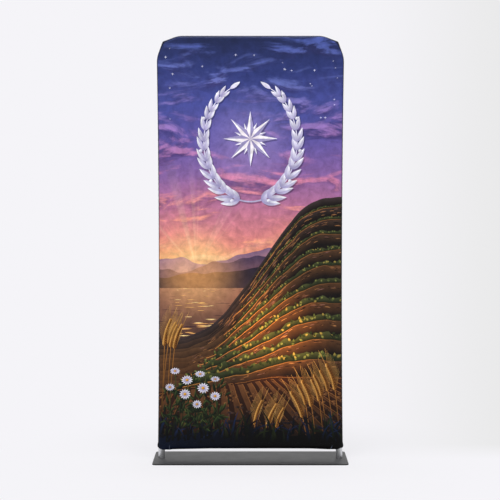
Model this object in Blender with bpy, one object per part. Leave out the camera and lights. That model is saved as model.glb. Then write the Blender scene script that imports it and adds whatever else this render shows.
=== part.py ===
"""Church banner: a stretch-cloth sleeve pulled over a bent aluminium tube frame on a flat steel base.

Metres, +Z up. The printed face looks along -Y, and the origin is on the floor under the middle of
the base plate. The cloth is two panels, front and back, which meet at a seam that runs up one side,
over the top and down the other, and along the closed part of the hem. The uprights leave the sleeve
through the two open ends of the hem.
"""

import math
from collections import namedtuple

import bmesh
import bpy
from mathutils import Matrix, Vector

# Cloth sleeve
SLEEVE_WIDTH = 0.915
SLEEVE_TOP = 2.085
HEM_HEIGHT = 0.0516
CLOTH_THICKNESS = 0.0012
CLOTH_CLEARANCE = 0.0006
SEAM_GAP = 0.0003
SEAM_LAND = 0.0008

# Frame of round tube
TUBE_DIAMETER = 0.032
TUBE_WALL = 0.0015
WAIST_DEPTH = 0.0066
WAIST_MIDDLE = 1.02
WAIST_HALF_HEIGHT = 0.93
ELBOW_LEG = 0.06

# Sewn top corners of the cloth, which stand off the round bend of the tube
CORNER_RADIUS = 0.128
CORNER_FLANK_ANGLE = math.radians(20)
CORNER_TIP_RADIUS = 0.012

# Flare of the sleeve just above the hem
FLARE = 0.0035
FLARE_AT_EDGE = 0.0022
FLARE_TOP = 0.086

# Base plate and the two pegs that the uprights stand over
PLATE_WIDTH = 0.955
PLATE_DEPTH = 0.300
PLATE_THICKNESS = 0.005
PLATE_CORNER = 0.020
PLATE_EDGE_BREAK = 0.0006
PEG_DIAMETER = 0.028
PEG_HEIGHT = 0.060
PEG_CHAMFER = 0.0015

# Smallest gap between pieces that touch
FIT = 0.0003

# How finely the round shapes are drawn
TUBE_SIDES = 24
RIM_STEPS = 5
HEM_STEPS = 4
ELBOW_STEPS = 12
CORNER_STEP = math.radians(5)
TIP_HALF_ANGLE = math.radians(2.1)
UPRIGHT_SPACING = 0.25
PLATE_CORNER_STEPS = 6

# Sizes that follow from those
TUBE_RADIUS = TUBE_DIAMETER / 2
SLEEVE_RADIUS = TUBE_RADIUS + CLOTH_CLEARANCE + CLOTH_THICKNESS
TUBE_X = SLEEVE_WIDTH / 2 - SLEEVE_RADIUS
TOP_BAR_Z = SLEEVE_TOP - SLEEVE_RADIUS
LOWER_BAR_Z = HEM_HEIGHT + SLEEVE_RADIUS
BEND_RADIUS = CORNER_RADIUS - SLEEVE_RADIUS
BEND_X = TUBE_X - BEND_RADIUS
BEND_Z = TOP_BAR_Z - BEND_RADIUS
ELBOW_FOOT_Z = BEND_Z - ELBOW_LEG
ELBOW_END_X = BEND_X - ELBOW_LEG

# The hem's lower edge: distance from the middle, height against its middle on the left and on the
# right, and how far it is closed, where 1 is sewn shut and 0 is open round an upright
HemPoint = namedtuple("HemPoint", "x left right closed")
HEM_LINE = (
    HemPoint(0.000, 0.0000, 0.0000, 1.00),
    HemPoint(0.200, -0.0002, 0.0000, 1.00),
    HemPoint(0.300, -0.0025, -0.0005, 1.00),
    HemPoint(0.345, -0.0034, -0.0026, 1.00),
    HemPoint(0.388, -0.0045, -0.0047, 1.00),
    HemPoint(0.402, -0.0075, -0.0042, 1.00),
    HemPoint(0.413, -0.0040, -0.0024, 0.45),
    HemPoint(0.424, -0.0036, -0.0012, 0.00),
    HemPoint(TUBE_X, -0.0010, 0.0028, 0.00),
    HemPoint(SLEEVE_WIDTH / 2 + FLARE, 0.0085, 0.0095, 0.00),
)

# A place on the frame's centre line: its point, its outward direction, how far the cloth's seam
# stands off there, and, below the lower bar, how far down towards the hem's edge the row lies
Station = namedtuple("Station", "centre outward standoff hem_share")


def clear_scene():
    for obj in list(bpy.data.objects):
        bpy.data.objects.remove(obj, do_unlink=True)


def material(name, red, green, blue, roughness, metallic):
    made = bpy.data.materials.new(name)
    made.use_nodes = True
    shader = made.node_tree.nodes["Principled BSDF"]
    shader.inputs["Base Color"].default_value = (red, green, blue, 1.0)
    shader.inputs["Roughness"].default_value = roughness
    shader.inputs["Metallic"].default_value = metallic
    return made


def add_object(name, bm, finish, smooth_below=math.radians(35)):
    """An object with that name from a bmesh, shaded smooth but for its sharp edges."""
    mesh = bpy.data.meshes.new(name)
    bm.to_mesh(mesh)
    bm.free()
    mesh.materials.append(finish)
    mesh.shade_smooth()
    mesh.set_sharp_from_angle(angle=smooth_below)
    obj = bpy.data.objects.new(name, mesh)
    bpy.context.scene.collection.objects.link(obj)
    return obj


def waist(z):
    """How far the pull of the cloth bows an upright inwards at a height."""
    return WAIST_DEPTH * max(0.0, 1 - ((z - WAIST_MIDDLE) / WAIST_HALF_HEIGHT) ** 2)


def hem_height(x):
    """Height of the hem's lower edge at a distance from the middle, left of it negative."""
    for near, far in zip(HEM_LINE, HEM_LINE[1:]):
        if abs(x) <= far.x:
            break
    share = (abs(x) - near.x) / (far.x - near.x)
    if x < 0:
        rise = near.left + (far.left - near.left) * share
    else:
        rise = near.right + (far.right - near.right) * share
    return HEM_HEIGHT + rise


def corner_standoff(angle):
    """How far the cloth stands off the tube's bend, which its straight-cut corner touches twice."""
    from_tip = abs(math.pi / 4 - angle)
    half_turn = math.pi / 4 - CORNER_FLANK_ANGLE
    if from_tip >= half_turn:
        return 0.0
    if from_tip > TIP_HALF_ANGLE:
        return CORNER_RADIUS / math.cos(half_turn - from_tip) - CORNER_RADIUS
    tip_centre = (CORNER_RADIUS - CORNER_TIP_RADIUS) / math.cos(half_turn)
    across = tip_centre * math.sin(from_tip)
    reach = tip_centre * math.cos(from_tip) + math.sqrt(CORNER_TIP_RADIUS**2 - across**2)
    return reach - CORNER_RADIUS


def upright_heights(low, high):
    """Heights along an upright, evenly spaced between two ends."""
    count = math.ceil((high - low) / UPRIGHT_SPACING)
    return [low + (high - low) * step / count for step in range(count + 1)]


def upright_station(z, standoff=0.0, hem_share=0.0):
    return Station(Vector((TUBE_X - waist(z), 0, z)), Vector((1, 0, 0)), standoff, hem_share)


def bend_station(angle, standoff=0.0):
    """A place on the right bend, from 0 at the upright to a quarter turn at the top bar."""
    outward = Vector((math.cos(angle), 0, math.sin(angle)))
    centre = Vector((BEND_X, 0, BEND_Z)) + outward * BEND_RADIUS
    return Station(centre, outward, standoff, 0.0)


def bar_station(x, z):
    """A place on one of the two level bars."""
    return Station(Vector((x, 0, z)), Vector((0, 0, 1)), 0.0, 0.0)


def mirrored(station):
    flip = Matrix.Scale(-1, 3, (1, 0, 0))
    return station._replace(centre=flip @ station.centre, outward=flip @ station.outward)


def sleeve_stations():
    """Stations of the cloth from its left hem, over the top, to its right hem."""
    right = []
    for step in range(HEM_STEPS, 0, -1):
        standoff = FLARE_AT_EDGE if step == HEM_STEPS else FLARE
        right.append(upright_station(LOWER_BAR_Z, standoff, math.sin(step / HEM_STEPS * math.pi / 2)))
    right.append(upright_station(LOWER_BAR_Z, FLARE))
    right.extend(upright_station(z) for z in upright_heights(FLARE_TOP, BEND_Z))
    tip = (math.pi / 4 - TIP_HALF_ANGLE, math.pi / 4, math.pi / 4 + TIP_HALF_ANGLE)
    even = [CORNER_STEP * step for step in range(1, round(math.pi / 2 / CORNER_STEP) + 1)]
    angles = sorted([angle for angle in even if abs(angle - tip[1]) > TIP_HALF_ANGLE] + list(tip))
    right.extend(bend_station(angle, corner_standoff(angle)) for angle in angles)
    return [mirrored(station) for station in right] + right[::-1]


def rim_points(station, face):
    """The cloth from its seam round to the flat of one face, which is -1 in front and 1 behind."""
    points = []
    land = SEAM_GAP / 2 + SEAM_LAND
    for step in range(-1, RIM_STEPS + 1):
        turn = max(step, 0) / RIM_STEPS * math.pi / 2
        out = SLEEVE_RADIUS * math.cos(turn) + station.standoff * math.cos(turn) ** 3
        depth = SEAM_GAP / 2 if step < 0 else land + (SLEEVE_RADIUS - land) * math.sin(turn)
        point = station.centre + station.outward * out + Vector((0, face * depth, 0))
        if station.hem_share:
            point.z -= station.hem_share * (point.z - hem_height(point.x))
        points.append(point)
    return points


def hem_columns():
    """The hem line's points between the two uprights, from left to right, with signed distances."""
    inner = [point for point in HEM_LINE if point.x < TUBE_X]
    left = [point._replace(x=-point.x) for point in inner[:0:-1]]
    return left + inner


def hem_points(column, face):
    """The cloth below the lower bar at one column, from the flat of a face down to the hem's edge.

    Where the hem is sewn shut, one more point carries its turned edge on to the seam.
    """
    points = []
    edge = hem_height(column.x)
    land = SEAM_GAP / 2 + SEAM_LAND
    for step in range(HEM_STEPS + 1):
        turn = step / HEM_STEPS * math.pi / 2
        tucked = (SLEEVE_RADIUS - land) * (1 - math.cos(turn)) * column.closed
        height = LOWER_BAR_Z - (LOWER_BAR_Z - edge) * math.sin(turn)
        points.append(Vector((column.x, face * (SLEEVE_RADIUS - tucked), height)))
    if column.closed == 1:
        points.append(Vector((column.x, face * SEAM_GAP / 2, edge)))
    return points


def strip(bm, rows):
    """Quads between neighbouring rows of vertices."""
    for row, following in zip(rows, rows[1:]):
        for a, b, c, d in zip(row, row[1:], following[1:], following):
            bm.faces.new((a, b, c, d))


def add_panel(name, face, finish):
    """One panel of the sleeve: a flat face, a rim that wraps half the tube, and a tucked-under hem."""
    bm = bmesh.new()
    rim = [[bm.verts.new(p) for p in rim_points(s, face)] for s in sleeve_stations()]
    strip(bm, rim)
    hem = [[bm.verts.new(p) for p in hem_points(column, face)] for column in hem_columns()]
    strip(bm, [column[HEM_STEPS:] for column in hem if len(column) > HEM_STEPS + 1])
    # The cloth in front of each upright joins the rim's own edge to the hem's first and last column
    left_side = [row[-1] for row in rim[HEM_STEPS::-1]]
    right_side = [row[-1] for row in rim[-1 - HEM_STEPS:]]
    fall = [left_side, *[column[: HEM_STEPS + 1] for column in hem], right_side]
    strip(bm, fall)
    around = [row[-1] for row in rim[HEM_STEPS:-HEM_STEPS]]
    along_bar = [column[0] for column in fall[-2:0:-1]]
    flat = bm.faces.new(around + along_bar)
    bmesh.ops.recalc_face_normals(bm, faces=bm.faces)
    flat.normal_update()
    if flat.normal.y * face < 0:
        bmesh.ops.reverse_faces(bm, faces=bm.faces)
    cloth = add_object(name, bm, finish).modifiers.new("Cloth thickness", "SOLIDIFY")
    cloth.thickness = CLOTH_THICKNESS
    cloth.offset = -1
    cloth.use_even_offset = True


def add_tube(name, stations, finish):
    """A hollow round tube swept through stations, with flat ring ends."""
    bm = bmesh.new()
    shells = []
    for radius in (TUBE_RADIUS, TUBE_RADIUS - TUBE_WALL):
        rings = []
        for station in stations:
            ring = []
            for side in range(TUBE_SIDES):
                turn = side / TUBE_SIDES * math.tau
                across = station.outward * math.cos(turn) + Vector((0, math.sin(turn), 0))
                ring.append(bm.verts.new(station.centre + across * radius))
            rings.append(ring + ring[:1])
        strip(bm, rings)
        shells.append(rings)
    outer, inner = shells
    for end in (0, -1):
        strip(bm, [outer[end], inner[end]])
    bmesh.ops.recalc_face_normals(bm, faces=bm.faces)
    return add_object(name, bm, finish)


def add_frame(finish):
    """Two bowed uprights, two bent elbows, the top bar between them and a coped lower bar."""
    foot = PLATE_THICKNESS + FIT
    upright = [upright_station(z) for z in [foot, *upright_heights(FLARE_TOP, ELBOW_FOOT_Z - FIT)]]
    elbow = [upright_station(ELBOW_FOOT_Z)]
    elbow += [bend_station(math.pi / 2 * step / ELBOW_STEPS) for step in range(ELBOW_STEPS + 1)]
    elbow.append(bar_station(ELBOW_END_X, TOP_BAR_Z))
    add_tube("upright_right", upright, finish)
    add_tube("upright_left", [mirrored(station) for station in upright], finish)
    add_tube("elbow_right", elbow, finish)
    add_tube("elbow_left", [mirrored(station) for station in elbow], finish)
    reach = ELBOW_END_X - FIT
    add_tube("top_bar", [bar_station(x, TOP_BAR_Z) for x in (-reach, reach)], finish)
    cope_ends(add_tube("lower_bar", [bar_station(x, LOWER_BAR_Z) for x in (-TUBE_X, TUBE_X)], finish))


def cope_ends(bar):
    """Hollows both ends of the lower bar to the round of the uprights."""
    for side in (-1, 1):
        bm = bmesh.new()
        bmesh.ops.create_cone(
            bm, cap_ends=True, segments=TUBE_SIDES, depth=2 * TUBE_DIAMETER,
            radius1=TUBE_RADIUS + FIT, radius2=TUBE_RADIUS + FIT,
            matrix=Matrix.Translation((side * TUBE_X, 0, LOWER_BAR_Z)),
        )
        cutter = add_object("cope_cutter", bm, bar.data.materials[0])
        cutter.hide_render = True
        cutter.display_type = "WIRE"
        cope = bar.modifiers.new("Cope", "BOOLEAN")
        cope.operation = "DIFFERENCE"
        cope.object = cutter


def add_base_plate(finish):
    """A flat steel plate with round corners and a slight break on its upper and lower edges."""
    bm = bmesh.new()
    size = Matrix.Diagonal((PLATE_WIDTH, PLATE_DEPTH, PLATE_THICKNESS, 1))
    bmesh.ops.create_cube(bm, size=1, matrix=Matrix.Translation((0, 0, PLATE_THICKNESS / 2)) @ size)
    upright_edges = [e for e in bm.edges if abs(e.verts[0].co.z - e.verts[1].co.z) > FIT]
    bmesh.ops.bevel(
        bm, geom=upright_edges, offset=PLATE_CORNER, segments=PLATE_CORNER_STEPS,
        profile=0.5, affect="EDGES",
    )
    outline = [e for e in bm.edges if abs(e.verts[0].co.z - e.verts[1].co.z) < FIT]
    bmesh.ops.bevel(bm, geom=outline, offset=PLATE_EDGE_BREAK, segments=1, affect="EDGES")
    add_object("base_plate", bm, finish)


def add_peg(name, x, finish):
    """A solid peg on the plate, inside the foot of an upright."""
    bm = bmesh.new()
    middle = PLATE_THICKNESS + FIT + PEG_HEIGHT / 2
    bmesh.ops.create_cone(
        bm, cap_ends=True, segments=TUBE_SIDES, depth=PEG_HEIGHT,
        radius1=PEG_DIAMETER / 2, radius2=PEG_DIAMETER / 2,
        matrix=Matrix.Translation((x, 0, middle)),
    )
    rim = [e for e in bm.edges if min(v.co.z for v in e.verts) > middle]
    bmesh.ops.bevel(bm, geom=rim, offset=PEG_CHAMFER, segments=1, affect="EDGES")
    add_object(name, bm, finish)


def main():
    clear_scene()
    front_print = material("Printed stretch cloth, front", 0.075, 0.062, 0.190, 0.75, 0.0)
    back_print = material("Printed stretch cloth, back", 0.060, 0.052, 0.160, 0.75, 0.0)
    tube_metal = material("Anodised aluminium tube", 0.60, 0.61, 0.62, 0.35, 1.0)
    plate_finish = material("Powder-coated steel plate", 0.150, 0.150, 0.155, 0.55, 0.0)
    peg_metal = material("Zinc-plated steel peg", 0.45, 0.45, 0.44, 0.40, 1.0)
    add_base_plate(plate_finish)
    add_peg("peg_left", -TUBE_X, peg_metal)
    add_peg("peg_right", TUBE_X, peg_metal)
    add_frame(tube_metal)
    add_panel("front_panel", -1, front_print)
    add_panel("back_panel", 1, back_print)


main()
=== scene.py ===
"""Looks of the church banner: a printed stretch-cloth sleeve on a tube frame with a flat base plate.

Written as an add-on, and run as a script. Metres, +Z up, the printed face looks along -Y. Each cloth
panel is cut flat first, in its own coordinates p (across) and q (up), and is then hung on the frame:
flat between the tubes, round them at its rim and tucked under the lower bar at its hem. The print is
drawn on the flat cut, so it turns round the tubes with the cloth.
"""

import math
from collections import namedtuple
from functools import partial

import bmesh
import bpy
import numpy as np
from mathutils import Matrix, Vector
from mathutils.bvhtree import BVHTree
from mathutils.geometry import delaunay_2d_cdt


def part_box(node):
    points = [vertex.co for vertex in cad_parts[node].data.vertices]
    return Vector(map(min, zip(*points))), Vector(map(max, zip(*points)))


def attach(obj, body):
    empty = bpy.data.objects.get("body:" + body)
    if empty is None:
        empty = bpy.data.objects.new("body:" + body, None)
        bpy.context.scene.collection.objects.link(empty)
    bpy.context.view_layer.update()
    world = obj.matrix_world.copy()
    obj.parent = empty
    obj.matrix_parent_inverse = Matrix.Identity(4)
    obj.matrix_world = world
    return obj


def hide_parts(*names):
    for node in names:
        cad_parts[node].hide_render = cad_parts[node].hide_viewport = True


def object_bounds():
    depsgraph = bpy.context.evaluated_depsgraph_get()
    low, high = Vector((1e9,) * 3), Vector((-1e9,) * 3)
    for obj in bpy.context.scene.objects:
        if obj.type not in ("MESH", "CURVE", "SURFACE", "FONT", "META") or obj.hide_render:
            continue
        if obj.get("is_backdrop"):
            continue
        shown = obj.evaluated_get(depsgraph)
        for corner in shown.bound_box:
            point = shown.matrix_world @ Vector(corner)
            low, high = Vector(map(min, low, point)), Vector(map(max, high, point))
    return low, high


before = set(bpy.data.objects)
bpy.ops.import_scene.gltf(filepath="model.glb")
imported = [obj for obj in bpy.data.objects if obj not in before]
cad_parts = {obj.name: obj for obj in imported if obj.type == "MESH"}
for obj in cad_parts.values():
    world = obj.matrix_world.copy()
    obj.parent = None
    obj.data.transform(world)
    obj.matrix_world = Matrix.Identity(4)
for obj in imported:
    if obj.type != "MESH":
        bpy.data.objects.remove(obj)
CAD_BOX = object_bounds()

bl_info = {
    "name": "Church Banner",
    "version": (1, 0, 0),
    "blender": (4, 5, 0),
    "location": "3D View > Sidebar > Banner",
    "description": "Dresses the banner's frame with its printed cloth, metal finishes and a studio",
    "category": "Object",
}

MM = 0.001


# Sizes read from the frame

def middle(node):
    """The middle of a node's box."""
    low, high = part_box(node)
    return (low + high) / 2


def node_size(node):
    """The size of a node's box."""
    low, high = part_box(node)
    return high - low


# The straight end of each elbow, which its box in the frame ends with
ELBOW_LEG = 0.06
TUBE_DIAMETER = node_size("upright_right").y
TUBE_RADIUS = TUBE_DIAMETER / 2
SLEEVE_RADIUS = -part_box("front_panel")[0].y
TUBE_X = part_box("upright_right")[1].x - TUBE_RADIUS
TUBE_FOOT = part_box("upright_right")[0].z
TUBE_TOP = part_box("upright_right")[1].z
TOP_BAR_Z = middle("top_bar").z
LOWER_BAR_Z = middle("lower_bar").z
HEM_HEIGHT = LOWER_BAR_Z - SLEEVE_RADIUS
BEND_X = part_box("elbow_right")[0].x + ELBOW_LEG
BEND_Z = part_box("elbow_right")[0].z + ELBOW_LEG
BEND_RADIUS = TUBE_X - BEND_X
CORNER_RADIUS = BEND_RADIUS + SLEEVE_RADIUS
PLATE_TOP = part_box("base_plate")[1].z

# Shape of the hung cloth, as the frame's own solids have it
WAIST_DEPTH = 0.0066
WAIST_MIDDLE = 1.02
WAIST_HALF_HEIGHT = 0.93
CORNER_FLANK_ANGLE = math.radians(20)
CORNER_TIP_RADIUS = 0.012
TIP_HALF_ANGLE = math.radians(2.1)
FLARE = 0.0035
FLARE_AT_EDGE = 0.0022
FLARE_TOP = 0.086
SEAM_GAP = 0.0003
SEAM_LAND = 0.0008
PLATE_CORNER = 0.020
FRAME_TUBES = ["top_bar", "lower_bar", "elbow_left", "elbow_right"]

# The hem's lower edge: distance from the middle, height against its middle on the left and on the
# right, and how far it is closed, where 1 is sewn shut and 0 is open round an upright
HemPoint = namedtuple("HemPoint", "x left right closed")
HEM_LINE = (
    HemPoint(0.000, 0.0000, 0.0000, 1.00),
    HemPoint(0.200, -0.0002, 0.0000, 1.00),
    HemPoint(0.300, -0.0025, -0.0005, 1.00),
    HemPoint(0.345, -0.0034, -0.0026, 1.00),
    HemPoint(0.388, -0.0045, -0.0047, 1.00),
    HemPoint(0.402, -0.0075, -0.0042, 1.00),
    HemPoint(0.413, -0.0040, -0.0024, 0.45),
    HemPoint(0.424, -0.0036, -0.0012, 0.00),
    HemPoint(TUBE_X, -0.0010, 0.0028, 0.00),
    HemPoint(TUBE_X + SLEEVE_RADIUS + FLARE, 0.0085, 0.0095, 0.00),
)

# The flat cut: the cloth's wrap round a quarter of the tube, and the cut's own size
WRAP = SLEEVE_RADIUS * math.pi / 2
CUT_BOTTOM = LOWER_BAR_Z - WRAP
STITCH_ROWS = (0.0775, 0.0830)

# The cloth's unevenness: the share of each wave, its turns across and up, its start, and how far the
# start differs between front and back
Wave = namedtuple("Wave", "share across up start by_face")
WAVES = (
    Wave(0.30, 9.0, 2.1, 0.0, 1.0),
    Wave(0.30, 4.0, -5.3, 0.0, 2.0),
    Wave(0.22, 17.0, 3.0, 1.3, 0.0),
    Wave(0.18, 6.0, 12.0, 0.0, 0.4),
)
TAUT_MARGIN = 0.12
PUCKER_REACH = 0.014
HEM_PUCKER_REACH = 0.020
HEM_PUCKER_SHARE = 0.8

# Creases of the hung cloth, each a soft trough or ridge from a point of the cut, with its reach
# across and up, its width and its height, below zero for a trough
Crease = namedtuple("Crease", "face p q reach_p reach_q width height")
CREASES = (
    Crease(-1, 0.395, 0.047, 0.014, 0.034, 0.0040, 0.0016),
    Crease(-1, 0.374, 0.046, -0.006, 0.036, 0.0060, -0.0010),
    Crease(-1, 0.418, 0.050, -0.030, 0.085, 0.0070, -0.0009),
    Crease(-1, -0.402, 0.044, 0.004, 0.040, 0.0045, 0.0013),
    Crease(-1, -0.418, 0.050, 0.034, 0.090, 0.0070, -0.0010),
    Crease(-1, -0.425, 0.095, 0.070, 0.070, 0.0090, -0.0007),
    Crease(-1, 0.425, 0.100, -0.080, 0.060, 0.0090, -0.0007),
    Crease(-1, -0.418, 2.046, 0.075, -0.075, 0.0080, -0.0009),
    Crease(-1, -0.436, 1.990, 0.060, -0.090, 0.0090, -0.0007),
    Crease(-1, 0.416, 2.044, -0.080, -0.070, 0.0080, -0.0010),
    Crease(-1, 0.437, 1.985, -0.055, -0.095, 0.0090, -0.0007),
    Crease(1, 0.398, 0.046, 0.006, 0.040, 0.0050, 0.0012),
    Crease(1, -0.404, 0.046, -0.010, 0.050, 0.0060, -0.0011),
    Crease(1, 0.418, 0.052, -0.040, 0.090, 0.0080, -0.0010),
    Crease(1, -0.425, 0.098, 0.080, 0.065, 0.0090, -0.0008),
    Crease(1, 0.416, 2.042, -0.070, -0.080, 0.0085, -0.0009),
    Crease(1, -0.420, 2.040, 0.085, -0.065, 0.0085, -0.0010),
)

# How finely the cloth is drawn
EDGE_SPACING = 0.0075
CORNER_STEP = math.radians(2.5)
GRID_SPACING = 0.017
GRID_CLEARANCE = 0.024
HEM_ROWS = 7
HEM_SPACING = 0.008
INNER_RINGS = (-0.020, -0.012, -0.006)
WRAP_STEPS = 8
SEAM_ROLL = 0.0015
SEAM_ROLL_DEPTH = 0.6 * SEAM_ROLL

# Names of the cloth's own data, which its materials read, and the colour of its thin edge
CUT_MAP = "Flat cut"
INK = "ink"
EDGE_DARK = "#0e1018"

# Steps of a drawn outline where it crosses the turned rim, and the step that a slope is measured over
RIM_STEP = 0.0040
PROBE = 0.0002

# Settings of the triangulation: keep what lies inside, and join points nearer than this
CDT_INSIDE = 1
CDT_NEAR = 1e-6


# Cloth on the frame

def smooth_step(share):
    """A share from 0 to 1, eased at both ends."""
    share = np.clip(share, 0.0, 1.0)
    return share * share * (3 - 2 * share)


def waist(z):
    """How far the cloth's pull bows the uprights inwards at a height."""
    return WAIST_DEPTH * np.clip(1 - ((z - WAIST_MIDDLE) / WAIST_HALF_HEIGHT) ** 2, 0.0, None)


def hem_height(x):
    """Height of the hem's lower edge, left of the middle negative."""
    places = [-point.x for point in HEM_LINE[:0:-1]] + [point.x for point in HEM_LINE]
    rises = [point.left for point in HEM_LINE[:0:-1]] + [point.right for point in HEM_LINE]
    fine = np.arange(places[0], places[-1] + MM, MM)
    softened = np.convolve(np.pad(np.interp(fine, places, rises), 4, mode="edge"), np.ones(9) / 9, "valid")
    return HEM_HEIGHT + np.interp(x, fine, softened)


def hem_closed(x):
    """How far the hem is closed, from 1 where it is sewn shut to 0 where it is open round an upright."""
    return np.interp(np.abs(x), [point.x for point in HEM_LINE], [point.closed for point in HEM_LINE])


def corner_standoff(angle):
    """How far the straight-cut corner of the cloth stands off the tube's bend."""
    from_tip = np.abs(math.pi / 4 - angle)
    half_turn = math.pi / 4 - CORNER_FLANK_ANGLE
    flank = CORNER_RADIUS / np.cos(half_turn - from_tip) - CORNER_RADIUS
    tip_centre = (CORNER_RADIUS - CORNER_TIP_RADIUS) / math.cos(half_turn)
    across = tip_centre * np.sin(np.minimum(from_tip, TIP_HALF_ANGLE))
    tip = tip_centre * np.cos(from_tip) + np.sqrt(CORNER_TIP_RADIUS**2 - across**2) - CORNER_RADIUS
    standoff = np.where(from_tip > TIP_HALF_ANGLE, flank, tip)
    return np.where(from_tip >= half_turn, 0.0, standoff)


def rim_frame(p, q):
    """For points of the cut: outward direction across and up, and distance past the flat face."""
    side, above = np.abs(p), q - BEND_Z
    beyond = side - BEND_X
    corner = (beyond > 0) & (above > 0)
    reach = np.maximum(np.hypot(beyond, above), 1e-9)
    past_side, past_top = side - TUBE_X, q - TOP_BAR_Z
    on_side = past_side >= past_top
    past = np.where(corner, reach - BEND_RADIUS, np.where(on_side, past_side, past_top))
    out_p = np.where(corner, beyond / reach, np.where(on_side, 1.0, 0.0))
    out_q = np.where(corner, above / reach, np.where(on_side, 0.0, 1.0))
    return out_p, out_q, past


def undulation(p, q, face):
    """Broad, slight unevenness of the taut cloth."""
    total = 0
    for wave in WAVES:
        total += wave.share * np.sin(wave.across * p + wave.up * q + wave.start + wave.by_face * face)
    return total


def relief(p, q, past, face, cloth):
    """Height of the cloth's unevenness above its taut place."""
    out = -cloth.slack * smooth_step(-past / TAUT_MARGIN) * (0.5 + 0.5 * undulation(p, q, face))
    # Puckers follow each other along a seam at an uneven pitch and depth
    run = np.where(np.abs(p) > BEND_X, q, p)
    pucker = np.sin(math.tau * run / cloth.pucker_spacing + 1.7 * np.sin(23.0 * run + face))
    pucker *= 0.6 + 0.4 * np.sin(7.0 * run + 2.0 * face)
    out += cloth.pucker_depth * pucker * np.exp(-np.clip(WRAP - past, 0, None) / PUCKER_REACH)
    pucker = np.sin(math.tau * p / (1.3 * cloth.pucker_spacing) + 1.5 * np.sin(17.0 * p + face))
    depth = HEM_PUCKER_SHARE * cloth.pucker_depth
    out += depth * pucker * np.exp(-np.clip(q - CUT_BOTTOM, 0, None) / HEM_PUCKER_REACH)
    for crease in CREASES:
        if crease.face == face:
            out += crease_height(p, q, crease)
    return out


def crease_height(p, q, crease):
    """Height of one crease: fading to both ends, and softly rounded across."""
    length = math.hypot(crease.reach_p, crease.reach_q)
    along = ((p - crease.p) * crease.reach_p + (q - crease.q) * crease.reach_q) / length**2
    across = ((p - crease.p) * crease.reach_q - (q - crease.q) * crease.reach_p) / length
    fade = np.sin(math.pi * np.clip(along, 0, 1)) ** 2
    return crease.height * fade * np.exp(-((across / crease.width) ** 2))


def hang(p, q, face, cloth):
    """Where points of the flat cut hang, on the front (face -1) or the back (face 1)."""
    out_p, out_q, past = rim_frame(p, q)
    radius = SLEEVE_RADIUS + relief(p, q, past, face, cloth)
    turn = np.clip(past / SLEEVE_RADIUS, 0, math.pi / 2)
    foot_p, foot_q = np.abs(p) - out_p * np.maximum(past, 0), q - out_q * np.maximum(past, 0)
    corner = (np.abs(p) > BEND_X) & (q > BEND_Z)
    flare = FLARE * (1 - smooth_step((q - LOWER_BAR_Z) / (FLARE_TOP - LOWER_BAR_Z)))
    below = np.clip((LOWER_BAR_Z - q) / WRAP, 0, 1)
    flare += (FLARE_AT_EDGE - FLARE) * below
    standoff = np.where(corner, corner_standoff(np.arctan2(out_q, out_p)), flare)
    roll = SEAM_ROLL_DEPTH * smooth_step(1 - (WRAP - past) / SEAM_ROLL)
    out = radius * np.sin(turn) + standoff * np.sin(turn) ** 3 - roll
    land = SEAM_GAP / 2 + SEAM_LAND * (1 - smooth_step(1 - (WRAP - past) / SEAM_ROLL))
    depth = land + (radius - land) * np.cos(turn)
    x, z = foot_p + out_p * out, foot_q + out_q * out
    x -= waist(z) * np.minimum(np.abs(p) / TUBE_X, 1)
    x *= np.sign(p)
    fall = below * math.pi / 2
    edge = hem_height(x)
    tuck = SEAM_GAP / 2
    depth = depth - np.maximum(depth - tuck, 0) * (1 - np.cos(fall)) * hem_closed(x)
    z = np.where(below > 0, LOWER_BAR_Z - (LOWER_BAR_Z - edge) * np.sin(fall), z)
    return np.stack([x, face * depth, z], axis=1)


def hang_normals(p, q, face, cloth):
    """Outward normals of the hung cloth at points of the cut."""
    across = hang(p + PROBE, q, face, cloth) - hang(p - PROBE, q, face, cloth)
    up = hang(p, q + PROBE, face, cloth) - hang(p, q - PROBE, face, cloth)
    normals = np.cross(up, across) * face
    return normals / np.maximum(np.linalg.norm(normals, axis=1, keepdims=True), 1e-12)


def edge_stations():
    """Places round the cut's edge from the left hem over the top to the right: foot and outward."""
    low = np.linspace(CUT_BOTTOM, LOWER_BAR_Z, HEM_ROWS + 1)
    steps = math.ceil((BEND_Z - LOWER_BAR_Z) / EDGE_SPACING)
    high = np.linspace(LOWER_BAR_Z, BEND_Z, steps + 1)[1:]
    right = [(TUBE_X, q, 1.0, 0.0) for q in (*low, *high)]
    for angle in np.arange(CORNER_STEP, math.pi / 2 - CORNER_STEP / 2, CORNER_STEP):
        across, up = math.cos(angle), math.sin(angle)
        right.append((BEND_X + BEND_RADIUS * across, BEND_Z + BEND_RADIUS * up, across, up))
    steps = math.ceil(BEND_X / EDGE_SPACING)
    right += [(p, TOP_BAR_Z, 0.0, 1.0) for p in np.linspace(BEND_X, 0, steps + 1)]
    left = [(-p, q, -across, up) for p, q, across, up in right]
    return left[:-1] + right[::-1]


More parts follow.
